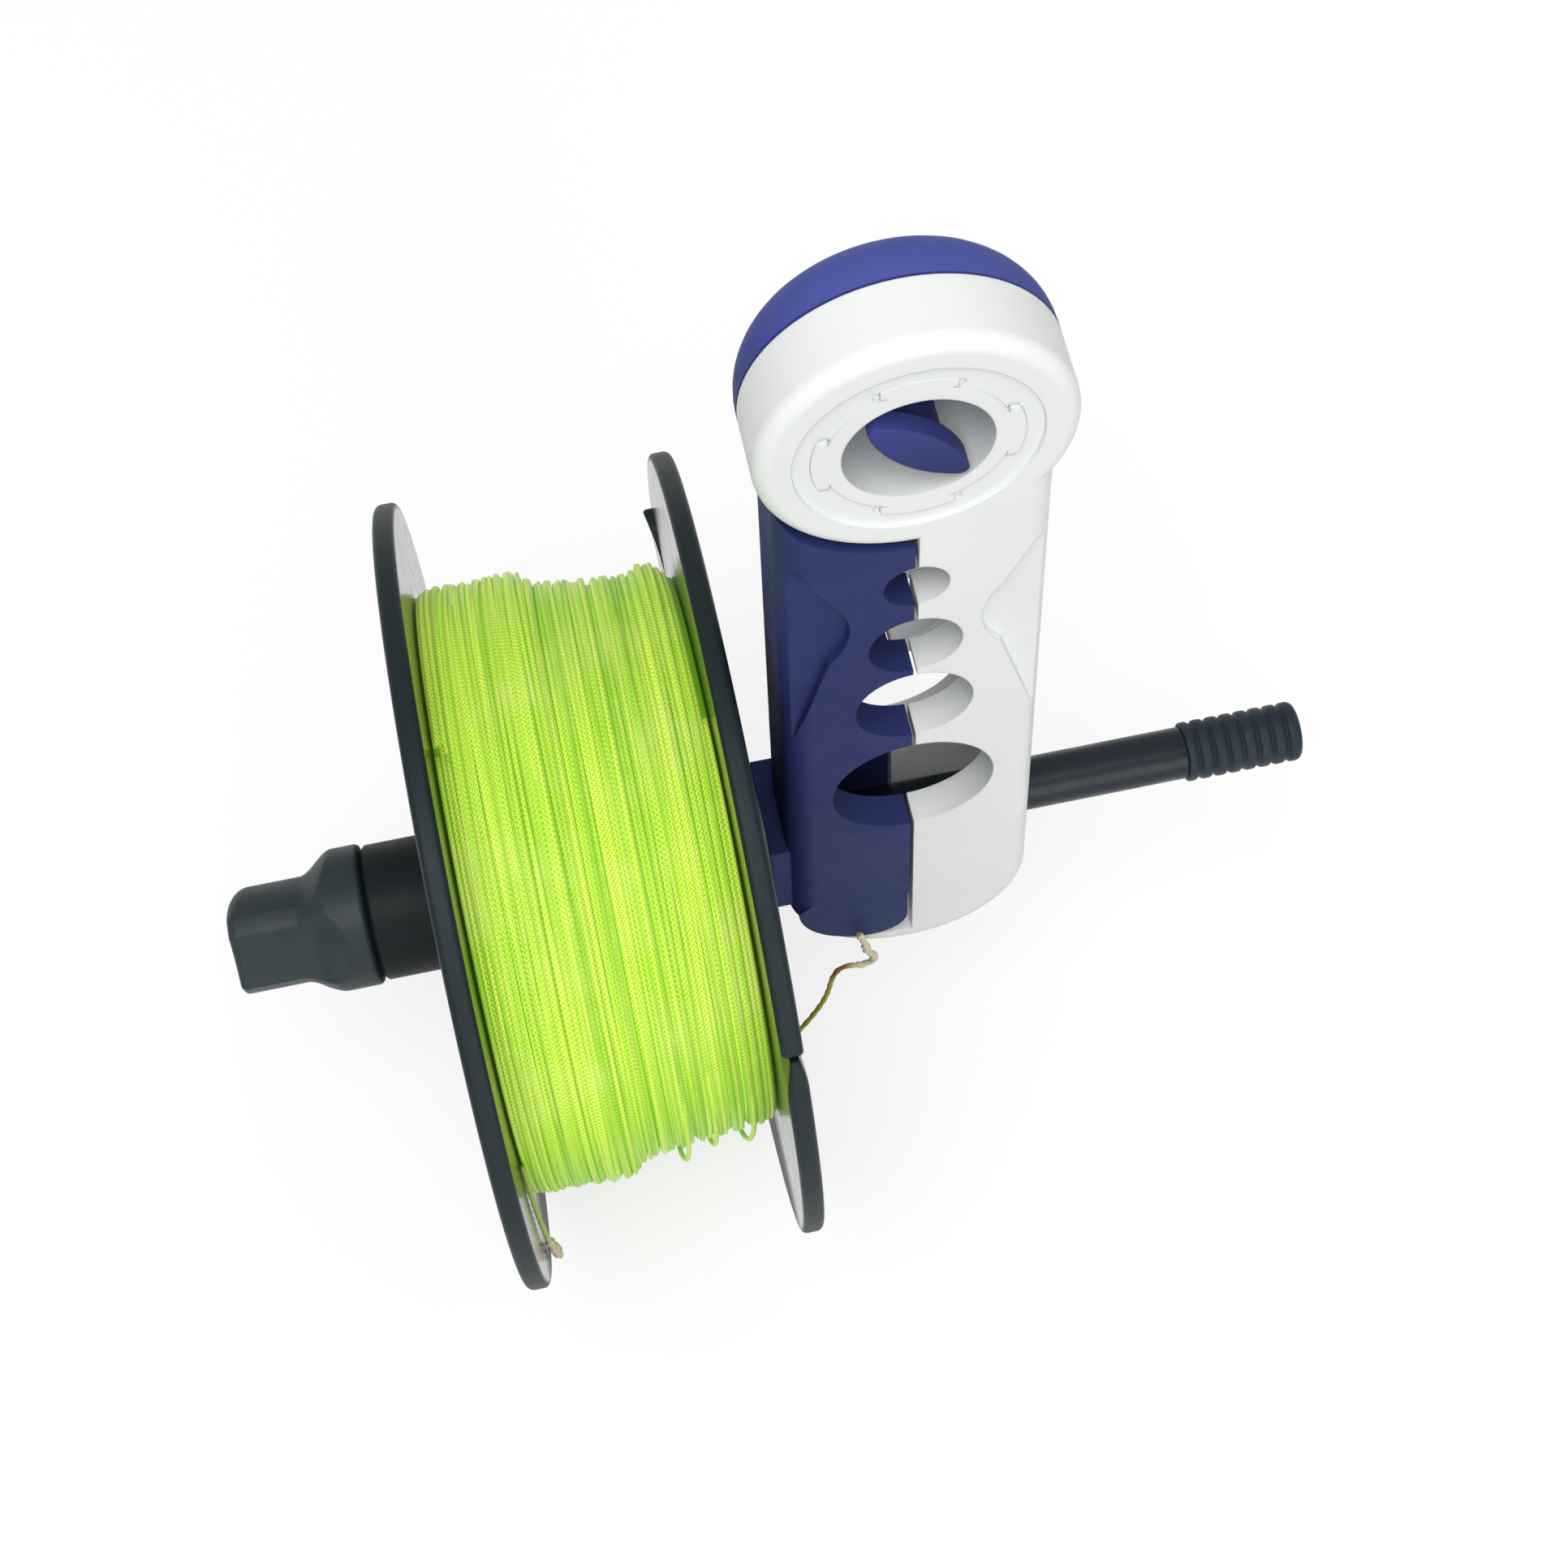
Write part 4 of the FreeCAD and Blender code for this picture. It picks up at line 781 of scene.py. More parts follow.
FINISHES = {
    # the blue jaw's upper end is paled by painted top light, and its lower end is greyer
    "blue_plastic": TopLitPlastic(
        "blue_moulding", rgb(46, 55, 105), rgb(40, 49, 99), rgb(70, 78, 126), roughness=0.55, shine=0.12,
        scuffs=0.25, gloss_drift=0.04, depth=0.012 * MM, lit_top=rgb(76, 86, 162), low_grey=rgb(42, 55, 97)
    ),
    "white_plastic": MouldedPlastic(
        "white_moulding", rgb(240, 243, 240), rgb(236, 239, 237), rgb(226, 228, 224), roughness=0.45,
        glow=0.12, shine=0.35
    ),
    "black_plastic": MouldedPlastic(
        "black_moulding", rgb(27, 38, 41), rgb(23, 33, 36), roughness=0.34, gloss_drift=0.03, depth=0.008 * MM
    ),
    "flange_plastic": FlangePlastic(
        "black_flange", rgb(13, 33, 38), rgb(10, 28, 33), roughness=0.15, gloss_drift=0.03, depth=0.003 * MM,
        scuffs=0.15, edge=0.1 * MM
    ),
    "black_knob": MouldedPlastic(
        "black_soft_knob", rgb(40, 54, 57), rgb(34, 47, 50), rgb(88, 98, 100), shine=0.35, scuffs=0.3,
        gloss_drift=0.05
    ),
    "black_cup": MouldedPlastic(
        "black_cup", rgb(23, 33, 35), rgb(18, 28, 30), shine=0.16, scuffs=0.25, gloss_drift=0.04
    ),
    "black_rod": MouldedPlastic(
        "black_rod", rgb(24, 35, 45), rgb(20, 30, 40), roughness=0.34, grain=1800.0, scuffs=0.4
    ),
    "black_rubber": MouldedPlastic("black_rubber", rgb(29, 42, 54), rgb(24, 36, 47), depth=0.03 * MM),
    "line": BraidedLine("braided_line"),
    # painted shade: darker copy of the line's colours for the buried layers of the winding
    "deep_line": BraidedLine(
        "deep_line", rgb(120, 196, 0), rgb(150, 214, 30), rgb(84, 160, 0), rgb(140, 200, 20), fading=0.3,
        deep=rgb(84, 160, 0), painted_glow=0.1
    ),
    "olive_line": BraidedLine(
        "olive_line", rgb(168, 164, 40), rgb(206, 202, 104), rgb(112, 104, 8), rgb(200, 186, 110), fading=0.7,
        deep=rgb(128, 120, 14), pick=0.5 * MM, painted_glow=0.05,
        stretches=((0.0265, 0.0285, rgb(140, 84, 44)), (0.0305, 0.0325, rgb(222, 214, 186)))
    ),
    "tail_line": BraidedLine(
        "tail_line", rgb(150, 190, 30), rgb(206, 222, 120), rgb(96, 130, 6), rgb(210, 206, 140),
        deep=rgb(120, 150, 20), pick=0.5 * MM, painted_glow=0.05, stretches=((0.018, 0.024, rgb(200, 206, 150)),)
    ),
    "worn_line": BraidedLine(
        "worn_line", rgb(214, 206, 168), rgb(240, 236, 214), rgb(164, 146, 104), rgb(226, 214, 190),
        fading=0.9, deep=rgb(190, 176, 130), pick=0.5 * MM, painted_glow=0.05
    ),
    "spring_steel": Metal("spring_steel", rgb(190, 192, 196), rgb(150, 152, 156)),
    "brass_insert": Metal("brass_insert", rgb(214, 178, 96), rgb(170, 138, 74), 0.28),
}
_made: dict[str, bpy.types.Material] = {}


def finish_for(slot: str) -> bpy.types.Material:
    """Material of a slot, built at its first use."""
    if slot not in _made:
        _made[slot] = FINISHES[slot].material()
    return _made[slot]


def dress_node(node: str, slot: str) -> None:
    """Gives a node of the frame the finish of its slot."""
    for piece in frame_objects(node):
        piece.data.materials.clear()
        piece.data.materials.append(finish_for(slot))


def frame_objects(node: str) -> list[Piece]:
    """Mesh objects of a node of the frame."""
    return [o for o in bpy.data.objects if o.type == "MESH" and o.name.split(".")[0] == node]


def dress_piece(
    piece: Piece, slot: str, body: str, *nodes: str, finish: str | None = None
) -> Piece:
    """Finishes a new piece, lets it ride on a body and stand for the nodes that it replaces.

    Args:
        piece: the new piece.
        slot: slot of the record that its finish belongs to.
        body: body that it rides on.
        nodes: nodes that it stands for.
        finish: name of the finish, where it isn't the slot's own.

    Returns:
        The same piece.
    """
    piece.data.materials.clear()
    piece.data.materials.append(finish_for(finish or slot))
    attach(piece, body)
    if nodes:
        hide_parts(*nodes)
    return piece


# ---------------------------------------------------------------- studio


@dataclass(frozen=True)
class Lamp:
    """Broad round lamp turned to the middle of the object."""

    name: str
    place: tuple[float, float, float]
    size: float
    power: float
    aim: tuple[float, float, float] = (0.0, 0.0, -0.03)

    def hang(self) -> None:
        """Hangs the lamp in its place."""
        data = bpy.data.lights.new(self.name, "AREA")
        data.shape = "DISK"
        data.size = self.size
        data.energy = self.power
        lamp = bpy.data.objects.new(self.name, data)
        lamp.location = self.place
        lamp.rotation_euler = (Vector(self.place) - Vector(self.aim)).to_track_quat("Z", "Y").to_euler()
        bpy.context.scene.collection.objects.link(lamp)


@dataclass
class Studio:
    """Camera, soft lamps, pale floor and white surroundings."""

    eye: tuple[float, float, float] = (-0.0344, -0.1468, 0.2369)
    right: tuple[float, float, float] = (0.9789, -0.2017, -0.0334)
    down: tuple[float, float, float] = (-0.1933, -0.8602, -0.4718)
    forward: tuple[float, float, float] = (0.0665, 0.4683, -0.8811)
    focal_pixels: float = 3300.0
    image_pixels: float = 1932.0
    sensor: float = 36.0
    floor_drop: float = 0.3 * MM
    floor_half: float = 3.0
    floor_tone: Colour = rgb(150, 150, 150)
    floor_shine: float = 0.72
    room_light: float = 0.6
    lamps: tuple[Lamp, ...] = (
        Lamp("key", (-0.16, -0.34, 0.8), 0.55, 3.6),
        Lamp("front", (0.12, -0.85, 0.2), 0.7, 2.8),
    )

    def place_camera(self) -> None:
        """Stands the camera where the view was taken from."""
        data = bpy.data.cameras.new("view")
        data.sensor_fit = "HORIZONTAL"
        data.sensor_width = self.sensor
        data.lens = self.focal_pixels / self.image_pixels * self.sensor
        data.clip_start = 0.01
        data.clip_end = 20.0
        camera = bpy.data.objects.new("view", data)
        axes = np.stack([self.right, -np.array(self.down), -np.array(self.forward)], axis=1)
        turn = Matrix(axes.tolist()).to_quaternion().to_matrix().to_4x4()
        camera.matrix_world = Matrix.Translation(self.eye) @ turn
        bpy.context.scene.collection.objects.link(camera)
        bpy.context.scene.camera = camera

    def lay_floor(self) -> None:
        """Lays a flat floor just under the lowest point of the model, which eyes and mirrors see pale."""
        height = CAD_BOX[0][2] - self.floor_drop
        flat = self.floor_half * np.array([[-1.0, -1.0], [1.0, -1.0], [1.0, 1.0], [-1.0, 1.0]])
        corners = np.column_stack([flat, np.full(4, height)])
        floor = mesh_object("floor", corners, np.array([[0, 1, 2, 3]]))
        material = bpy.data.materials.new("pale_floor")
        material.use_nodes = True
        board = NodeBoard(material.node_tree)
        board.tree.nodes.clear()
        ray = board.add("ShaderNodeLightPath")
        seen = board.maths("MAXIMUM", ray.outputs["Is Camera Ray"], ray.outputs["Is Glossy Ray"])
        seen = board.maths("MAXIMUM", seen, ray.outputs["Is Transmission Ray"])
        pale = board.times(seen, self.floor_shine)
        cloth = board.add("ShaderNodeBsdfDiffuse", None, {"Color": self.floor_tone})
        shine = board.add("ShaderNodeEmission", None, {"Strength": pale})
        both = board.add("ShaderNodeAddShader", None, {0: cloth.outputs[0], 1: shine.outputs[0]})
        output = board.add("ShaderNodeOutputMaterial")
        board.feed(output.inputs["Surface"], both.outputs[0])
        floor.data.materials.append(material)

    def light(self) -> None:
        """Plain white world and two broad lamps."""
        world = bpy.data.worlds.new("white_room")
        world.use_nodes = True
        board = NodeBoard(world.node_tree)
        board.tree.nodes.clear()
        ray = board.add("ShaderNodeLightPath")
        strength = board.spread(ray.outputs["Is Camera Ray"], 0.0, 1.0, self.room_light, 1.0)
        back = board.add("ShaderNodeBackground", None, {"Color": (1, 1, 1, 1), "Strength": strength})
        output = board.add("ShaderNodeOutputWorld")
        board.feed(output.inputs["Surface"], back.outputs[0])
        bpy.context.scene.world = world
        for lamp in self.lamps:
            lamp.hang()

    def set_view(self) -> None:
        """Plain view transform."""
        bpy.context.scene.view_settings.view_transform = "Standard"


# ---------------------------------------------------------------- line


@dataclass
class LineEnd:
    """One loose end of the line on its own route, in millimetres with heights above the spindle."""

    name: str
    node: str
    route: list[tuple[float, float, float]]
    length: float
    finish: str
    worn_length: float
    worn_swell: float
    worn_knot: float
    far_end: str = "bare"
    lay: str = "hanging"
    radius: float = 0.32 * MM
    outward: tuple[float, float, float] = (0.31, -0.85, 0.42)
    worn_steps: int = 120
    worn_rise: float = 1.12
    worn_wave: float = 0.45

    def spine(self) -> np.ndarray:
        """Points read from the route's own smooth spline."""
        curve = bpy.data.curves.new(f"{self.name}_route", "CURVE")
        curve.dimensions = "3D"
        curve.resolution_u = 16
        spline = curve.splines.new("NURBS")
        spline.points.add(len(self.route) - 1)
        for point, (x, y, z) in zip(spline.points, self.route):
            point.co = (x * MM, y * MM, z * MM + SPINDLE_HEIGHT, 1.0)
        spline.order_u = 3
        spline.use_endpoint_u = True
        holder = bpy.data.objects.new(f"{self.name}_route", curve)
        bpy.context.scene.collection.objects.link(holder)
        bpy.context.view_layer.update()
        mesh = bpy.data.meshes.new_from_object(holder)
        points = np.empty(len(mesh.vertices) * 3)
        mesh.vertices.foreach_get("co", points)
        bpy.data.meshes.remove(mesh)
        bpy.data.objects.remove(holder)
        bpy.data.curves.remove(curve)
        return points.reshape(-1, 3)

    def build(self, slot: str) -> Piece:
        """Two-ply twisted tube along the route, with its worn end.

        Args:
            slot: slot of the record that its finish belongs to.

        Returns:
            The cord.
        """
        path = self.spine()
        outward = np.tile(self.outward, (len(path), 1))
        radius = np.full(len(path), self.radius)
        piece = tube(self.name, path, outward, radius, sides=12, twist=520.0, plies=2, groove=0.12)
        dress_piece(piece, slot, "spool", self.node, finish=self.finish)
        worn = dress_piece(self.worn_end(path), slot, "spool", finish="worn_line")
        return piece

    def worn_end(self, path: np.ndarray) -> Piece:
        """Loosened plait over the last stretch: a sleeve on the route whose radius swells and shrinks as a
        sine of the distance from the tip, thinner at both ends.

        Args:
            path: array (n, 3) of points of the line end.

        Returns:
            The sleeve.
        """
        steps = np.linalg.norm(np.diff(path, axis=0), axis=1)
        left = np.concatenate([np.cumsum(steps[::-1])[::-1], [0.0]])
        place = np.linspace(self.worn_length, 0.0, self.worn_steps)
        stretch = np.stack([np.interp(place, left[::-1], path[::-1, axis]) for axis in range(3)], axis=1)
        share = place / self.worn_length
        knots = 1.0 - self.worn_wave + self.worn_wave * np.sin(TURN * place / self.worn_knot)
        radius = self.radius * self.worn_rise + self.worn_swell * knots * np.sqrt(share * (1 - share))
        outward = np.tile(self.outward, (self.worn_steps, 1))
        name = f"{self.name}_worn"
        return tube(name, stretch, outward, radius, sides=14, twist=700.0, plies=3, groove=0.16)


RIGHT_ROUTE = [
    (-22.3, -12.0, -38.6),
    (-21.8, -12.6, -42.4),
    (-17.9, -12.5, -42.0),
    (-17.9, -12.1, -38.6),
    (-16.2, -11.3, -36.2),
    (-13.6, -10.7, -32.6),
    (-11.4, -10.4, -27.6),
    (-10.5, -10.2, -21.5),
    (-8.9, -10.1, -19.9),
    (-6.4, -10.1, -20.9),
    (-4.8, -10.1, -19.3),
    (-6.2, -10.2, -16.4),
    (-6.2, -10.2, -14.6),
    (-7.0, -10.2, -11.4),
]
LEFT_ROUTE = [
    (-51.4, -37.2, 4.2),
    (-51.4, -38.5, -2.5),
    (-51.3, -38.9, -10.0),
    (-51.1, -38.6, -18.5),
    (-50.6, -37.5, -26.5),
]


@dataclass
class Course:
    """One pass of line over the spool: turns laid side by side between two places, wandering a little."""

    name: str
    turns: int
    sweeps: float
    lift: float
    wander: float
    seed: int
    start: float = 0.0
    end: float = 1.0
    steps: int = 150
    sides: int = 6


@dataclass
class Winding:
    """Wound line: courses of strands over a solid bed, with a step and a fall towards the clamp's side."""

    left: float = low_corner("spool_core")[0] + 0.2 * MM
    right: float = high_corner("spool_core")[0] - 0.2 * MM
    inner: float = high_corner("spool_core")[1] + 0.1 * MM
    strand: float = 0.29 * MM
    heights: tuple[tuple[float, float], ...] = (
        (0.0, 36.5), (0.10, 36.7), (0.20, 36.6), (0.34, 36.9), (0.41, 36.6), (0.45, 35.5), (0.50, 35.2),
        (0.57, 34.9), (0.69, 34.5), (0.83, 34.1), (0.93, 34.0), (1.0, 33.6),
    )
    ridge: tuple[float, float, float] = (0.90, 0.05, 1.3)
    ridge_angle: float = np.radians(57.0)
    ridge_spread: float = 0.5
    loops: tuple[tuple[float, float, float], ...] = ((-33.2, 1.7, 0.75), (-29.6, 1.0, 0.5), (-25.4, 1.5, 0.9))
    loop_angle: float = np.radians(-111.0)
    loop_half: float = 0.62
    loop_sink: float = 0.35
    loop_steps: int = 90
    loop_bend: float = 2.4
    blur: float = 0.015
    short_drift: float = 0.55
    long_drift: float = 2.3
    lift_spacing: float = 0.37
    lift_reach: float = 0.12
    bed_sink: float = 3.2
    bed_steps: int = 60
    courses: list[Course] = field(
        default_factory=lambda: [
            Course("line_bed", 54, 1.0, -0.75, 0.1, 3),
            Course("line_second", 50, 1.0, -0.35, 0.3, 11),
            Course("line_third", 36, 2.0, -0.02, 0.55, 23, 0.0, 0.97),
            Course("line_top", 16, 2.0, 0.18, 0.8, 31, 0.02, 0.43),
        ]
    )

    def height(self, x: np.ndarray, angle: np.ndarray) -> np.ndarray:
        """Radius of the winding, read from its heights, with a short ridge on the far top side.

        Args:
            x: array of places along the spindle in metres.
            angle: array of angles.

        Returns:
            Array of distances from the spindle in metres.
        """
        share = np.clip((x - self.left) / (self.right - self.left), 0.0, 1.0)
        places, heights = np.array(self.heights).T
        shifts = (-self.blur, 0.0, self.blur)
        smooth = sum(np.interp(share + shift, places, heights) for shift in shifts) / len(shifts)
        centre, width, rise = self.ridge
        turn = turn_from(angle, self.ridge_angle)
        return (smooth + rise * bell((share - centre) / width) * bell(turn / self.ridge_spread)) * MM

    def lay_course(self, course: Course) -> Piece:
        """Strand of a course: x runs across and back as a triangle wave plus a random drift, while the angle
        turns steadily and the radius follows the height of the winding plus a small random lift.

        Args:
            course: the course to lay.

        Returns:
            The strand.
        """
        count = course.turns * course.steps
        rng = np.random.default_rng(course.seed)
        place = np.arange(count) / count
        angle = TURN * course.turns * place
        wave = np.abs(((place * course.sweeps) % 2.0) - 1.0)
        drift = smooth_noise(rng, count, course.steps * self.short_drift, course.wander * MM)
        drift += smooth_noise(rng, count, course.steps * self.long_drift, course.wander * MM)
        first = self.left + self.strand + (self.right - self.left) * course.start
        last = self.left - self.strand + (self.right - self.left) * course.end
        x = np.clip(first + (last - first) * (1.0 - wave) + drift, first, last)
        lift = smooth_noise(rng, count, course.steps * self.lift_spacing, self.lift_reach * MM)
        lift += course.lift * MM
        path, outward = round_spindle(x, angle, self.height(x, angle) - self.strand + lift)
        return tube(course.name, path, outward, np.full(count, self.strand), course.sides)

    def slack_loop(self, number: int, place: float, rise: float, shift: float) -> Piece:
        """Loose turn that stands off the winding: the radius rises as a squared cosine over a fifth of a
        turn, while x moves by twice the shift as a hyperbolic tangent.

        Args:
            number: number in the name of the loop.
            place: place of its middle along the spindle in millimetres.
            rise: how far it stands off in millimetres.
            shift: half of its sideways step in millimetres.

        Returns:
            The loop.
        """
        share = np.linspace(-1.0, 1.0, self.loop_steps)
        angle = self.loop_angle + share * self.loop_half
        x = place * MM + shift * MM * np.tanh(self.loop_bend * share)
        bulge = np.cos(0.5 * np.pi * share) ** 2
        rest = self.height(x, angle) - self.strand - self.loop_sink * MM
        path, outward = round_spindle(x, angle, rest + (rise + self.loop_sink) * MM * bulge)
        return tube(f"line_loop_{number}", path, outward, np.full(share.size, self.strand), 10)

    def core(self) -> Piece:
        """Deep layers under the strands: a ring from the spool's core to a few strands below the surface."""
        across = np.linspace(self.left, self.right, self.bed_steps)
        surface = self.height(across, np.zeros(self.bed_steps))
        top = np.stack([across, surface - self.strand * self.bed_sink], axis=1)
        inner = np.array([[self.right, self.inner], [self.left, self.inner]])
        return lathe("line_core", np.concatenate([inner, top]), 180)

    def build(self) -> None:
        """Lays every course; the first stands for the solid winding."""
        for index, course in enumerate(self.courses):
            nodes = ("line_winding",) if index == 0 else ()
            dress_piece(self.lay_course(course), "line", "spool", *nodes)
            LOG.info("%s: %d turns", course.name, course.turns)
        for number, (place, rise, shift) in enumerate(self.loops):
            dress_piece(self.slack_loop(number, place, rise, shift), "line", "spool")
        # painted shade: the buried layers take the darker copy of the line's colours
        dress_piece(self.core(), "line", "spool", finish="deep_line")


# ---------------------------------------------------------------- sub-assemblies


@dataclass
class SubAssembly:
    """Nodes of one sub-assembly that keep their own shape, each with its finish."""

    finishes: ClassVar[dict[str, str]] = {}

    def build(self) -> None:
        """Dresses the nodes."""
        for node, finish in self.finishes.items():
            dress_node(node, finish)


@dataclass
class Clamp(SubAssembly):
    """Jaw that stays on the rod, with its closing spring, bush and washer."""

    finishes: ClassVar[dict[str, str]] = {
        "blue_jaw": "blue_plastic",
        "jaw_spring": "spring_steel",
        "spindle_bush": "black_plastic",
        "thrust_washer": "white_plastic",
    }


@dataclass
class WhiteHalf(SubAssembly):
    """Jaw that swings open, with the hub in its head."""

    finishes: ClassVar[dict[str, str]] = {"white_jaw": "white_plastic", "pivot_hub": "white_plastic"}


@dataclass
class Spindle(SubAssembly):
    """Black rod with a clip in its groove and a ribbed rubber grip at its free end."""

    finishes: ClassVar[dict[str, str]] = {"spindle": "black_rod", "spindle_clip": "spring_steel"}
    grip_start: float = low_corner("rubber_grip")[0]
    grip_end: float = high_corner("rubber_grip")[0]
    grip_radius: float = high_corner("rubber_grip")[1]
    valley_depth: float = 0.34 * MM
    valley_width: float = 0.3 * MM
    first_valley: float = 37.1 * MM
    last_valley: float = 48.1 * MM
    valleys: int = 7
    bore: float = 3.21 * MM
    collar_round: float = 0.3 * MM
    cap_round: float = 0.8 * MM
    cap_thick: float = 0.5 * MM

    def grip(self) -> Piece:
        """Sleeve whose outer radius dips at each valley as a bell curve of the distance from it, with a
        rounded collar at one end and a rounded cap at the other."""
        across = np.linspace(self.grip_start, self.grip_end, 260)
        places = np.linspace(self.first_valley, self.last_valley, self.valleys)
        dips = bell((across[:, None] - places) / self.valley_width).sum(axis=1)
        collar = self.collar_round * quarter_round(1.0 - (across - self.grip_start) / self.collar_round)
        cap = self.cap_round * quarter_round(1.0 - (self.grip_end - across) / self.cap_round)
        outer = np.stack([across, self.grip_radius - self.valley_depth * dips - collar - cap], axis=1)
        end = self.grip_end - self.cap_thick
        inner = np.array([[self.grip_end, POLE], [end, POLE], [end, self.bore], [self.grip_start, self.bore]])
        return lathe("grip_sleeve", np.concatenate([outer, inner])[::-1], 96)

    def build(self) -> None:
        """Dresses the rod and its clip, and makes the grip."""
        super().build()
        dress_piece(self.grip(), "black_rubber", "spindle", "rubber_grip")


@dataclass
class Slit:
    """Slit for the line in the rim of a flange, in radians and millimetres."""

    angle: float
    lean: float = 0.0
    lead: float = 0.0
    lead_depth: float = 1.3
    lip: int = 1
    bend: float = 0.0
    bend_length: float = 9.0
    thin: float = 0.0
    thin_outside: float = 0.0
    width: float = 0.9
    depth: float = 5.0
    corner: float = 1.0

    def rim(self, away: np.ndarray) -> np.ndarray:
        """How far the rim falls: the whole depth inside the slit, a quarter round at its lips, and a straight
        lead on the side opposite to the lip.

        Args:
            away: array of signed distances from the slit along the rim.

        Returns:
            Array of falls in millimetres.
        """
        gap = np.abs(away) - 0.5 * self.width
        fall = self.corner * quarter_round(1.0 - gap / self.corner)
        if self.lead:
            straight = self.lead_depth * ramp(gap, self.lead, 0.0)
            fall = np.where(away * self.lip < 0.0, np.maximum(fall, straight), fall)
        return np.where(gap < 0.0, self.depth, fall)

    def taper(self, away: np.ndarray, length: float) -> np.ndarray:
        """Share that falls as a square from the slit to a length along the rim, on the lip's side alone."""
        gap = away * self.lip - 0.5 * self.width
        return np.where(gap >= 0.0, ramp(gap, length, 0.0) ** 2, 0.0)


@dataclass
class Flange:
    """Flange of the spool: a flat web with a conical seat, a rim with rounded lips and slits for the line."""

    name: str
    node: str
    side: int
    slits: tuple[Slit, ...] = ()
    inner: float = field(init=False)
    thick: float = field(init=False)
    rim: float = field(init=False)
    web: float = 2.0
    band: float = 2.4
    seat: float = 10.2
    core: float = 17.5
    outer_round: float = 0.8
    inner_round: float = 0.6
    face_rings: tuple[float, ...] = (46.0, 44.0, 42.0, 40.0, 37.0, 34.0)
    even_columns: int = 240
    slit_columns: tuple[float, ...] = (-0.01, 0.0, 0.02, 0.06, 0.14, 0.28, 0.5, 0.8, 1.2, 1.8, 2.6, 3.6)
    slit_margin: float = 0.5
    bend_start: float = 36.0
    lip_band: tuple[float, float] = (43.0, 46.0)
    thin_length: float = 6.0
    thin_outside_length: float = 4.0
    lean_band: tuple[float, float] = (30.0, 42.0)
    lean_spread: float = 5.0

    def __post_init__(self) -> None:
        """Reads the faces and the rim of the node that it stands for, in millimetres."""
        low, high = low_corner(self.node) / MM, high_corner(self.node) / MM
        self.inner = high[0] if self.side < 0 else low[0]
        self.thick = high[0] - low[0]
        self.rim = high[1]

    def profile(self) -> np.ndarray:
        """Outline as (distance from the inner face, radius): seat, web, band, two rounds, inner face."""
        arc = np.linspace(0.0, 0.25 * TURN, 7)
        far, near = self.outer_round, self.inner_round
        top = np.stack([self.thick - far + far * np.cos(arc), self.rim - far + far * np.sin(arc)], axis=1)
        back = np.stack([near - near * np.sin(arc), self.rim - near + near * np.cos(arc)], axis=1)
        start = [
            [0.0, self.seat], [self.web, self.seat + self.web], [self.web, self.core + 1.0],
            [self.web, self.rim - self.band - 1.0], [self.thick, self.rim - self.band],
        ]
        end = [[0.0, radius] for radius in (*self.face_rings, self.core)]
        return np.concatenate([start, top, back, end])

    def columns(self) -> np.ndarray:
        """Angles of the grid: even steps, with finer ones at each slit's edges and lips."""
        near = [np.linspace(0.0, TURN, self.even_columns, endpoint=False)]
        for slit in self.slits:
            edge = 0.5 * slit.width + np.array(self.slit_columns)
            near.append(slit.angle + np.concatenate([-edge, edge]) / self.rim)
        return np.unique(np.round(np.concatenate(near) % TURN, 7))

    def build(self, slot: str) -> Piece:
        """Carries the outline round the spindle.

        Above a slit's floor the radius is drawn in to the fallen rim, a bent lip moves along the spindle with
        the square of its height, a thinned lip draws its faces together, and a leaning slit turns with depth.

        Args:
            slot: slot of the record that the finish belongs to.

        Returns:
            The flange, dressed and riding on the spool.
        """
        outline = self.profile()
        if self.side < 0:
            outline = outline[::-1]
        turn = self.columns()[None, :]
        depth = np.broadcast_to(outline[:, 0, None], (len(outline), turn.size)).copy()
        radius = np.broadcast_to(outline[:, 1, None], depth.shape).copy()
        angle = np.broadcast_to(turn, depth.shape).copy()
        for slit in self.slits:
            away = turn_from(turn, slit.angle) * self.rim
            floor = self.rim - slit.depth - self.slit_margin
            above = np.clip(radius - floor, 0.0, None)
            radius = radius - above + above * (self.rim - slit.rim(away) - floor) / (self.rim - floor)
            height = ramp(radius, self.bend_start, self.rim)
            depth += slit.bend * slit.taper(away, slit.bend_length) * height**2
            lip = ramp(radius, *self.lip_band)
            inside = slit.taper(away, self.thin_length) * lip
            depth += slit.thin * inside * ramp(depth, self.thick, 0.0)
            outside = slit.taper(away, self.thin_outside_length) * lip
            depth -= slit.thin_outside * outside * ramp(depth, 0.0, self.thick)
            sunk = ramp(radius, self.rim, self.rim - slit.depth) * ramp(radius, *self.lean_band)
            angle += slit.lean * sunk * bell(away / self.lean_spread)
        x = (self.inner + self.side * depth) * MM
        piece = turned_skin(self.name, x, radius * MM, angle)
        return dress_piece(piece, slot, "spool", self.node, finish="flange_plastic")


@dataclass
class Spool(SubAssembly):
    """Two flanges, the core between them and the wound line."""

    finishes: ClassVar[dict[str, str]] = {
        "spool_core": "black_plastic",
        "inner_cone": "black_plastic",
        "outer_cup": "black_cup",
        "drag_spring": "spring_steel",
    }

    def build(self) -> None:
        """Dresses the moulded parts, makes the flanges and winds the line on."""
        super().build()
        front = Slit(np.radians(-57.5), lip=-1, thin=1.1, thin_outside=0.6, corner=1.1, width=0.3)
        rear = Slit(np.radians(84.5), lip=1, bend=-1.3, bend_length=15.0, corner=0.9, width=0.5)
        under = Slit(np.radians(-162.0), lean=np.radians(-1.94), lead=3.8, lip=1, corner=0.5)
        left = Flange("flange_left", "spool_flange_left", side=-1)
        right = Flange("flange_right", "spool_flange_right", side=1, slits=(front, rear, under))
        for flange in (left, right):
            flange.build("black_plastic")
        Winding().build()


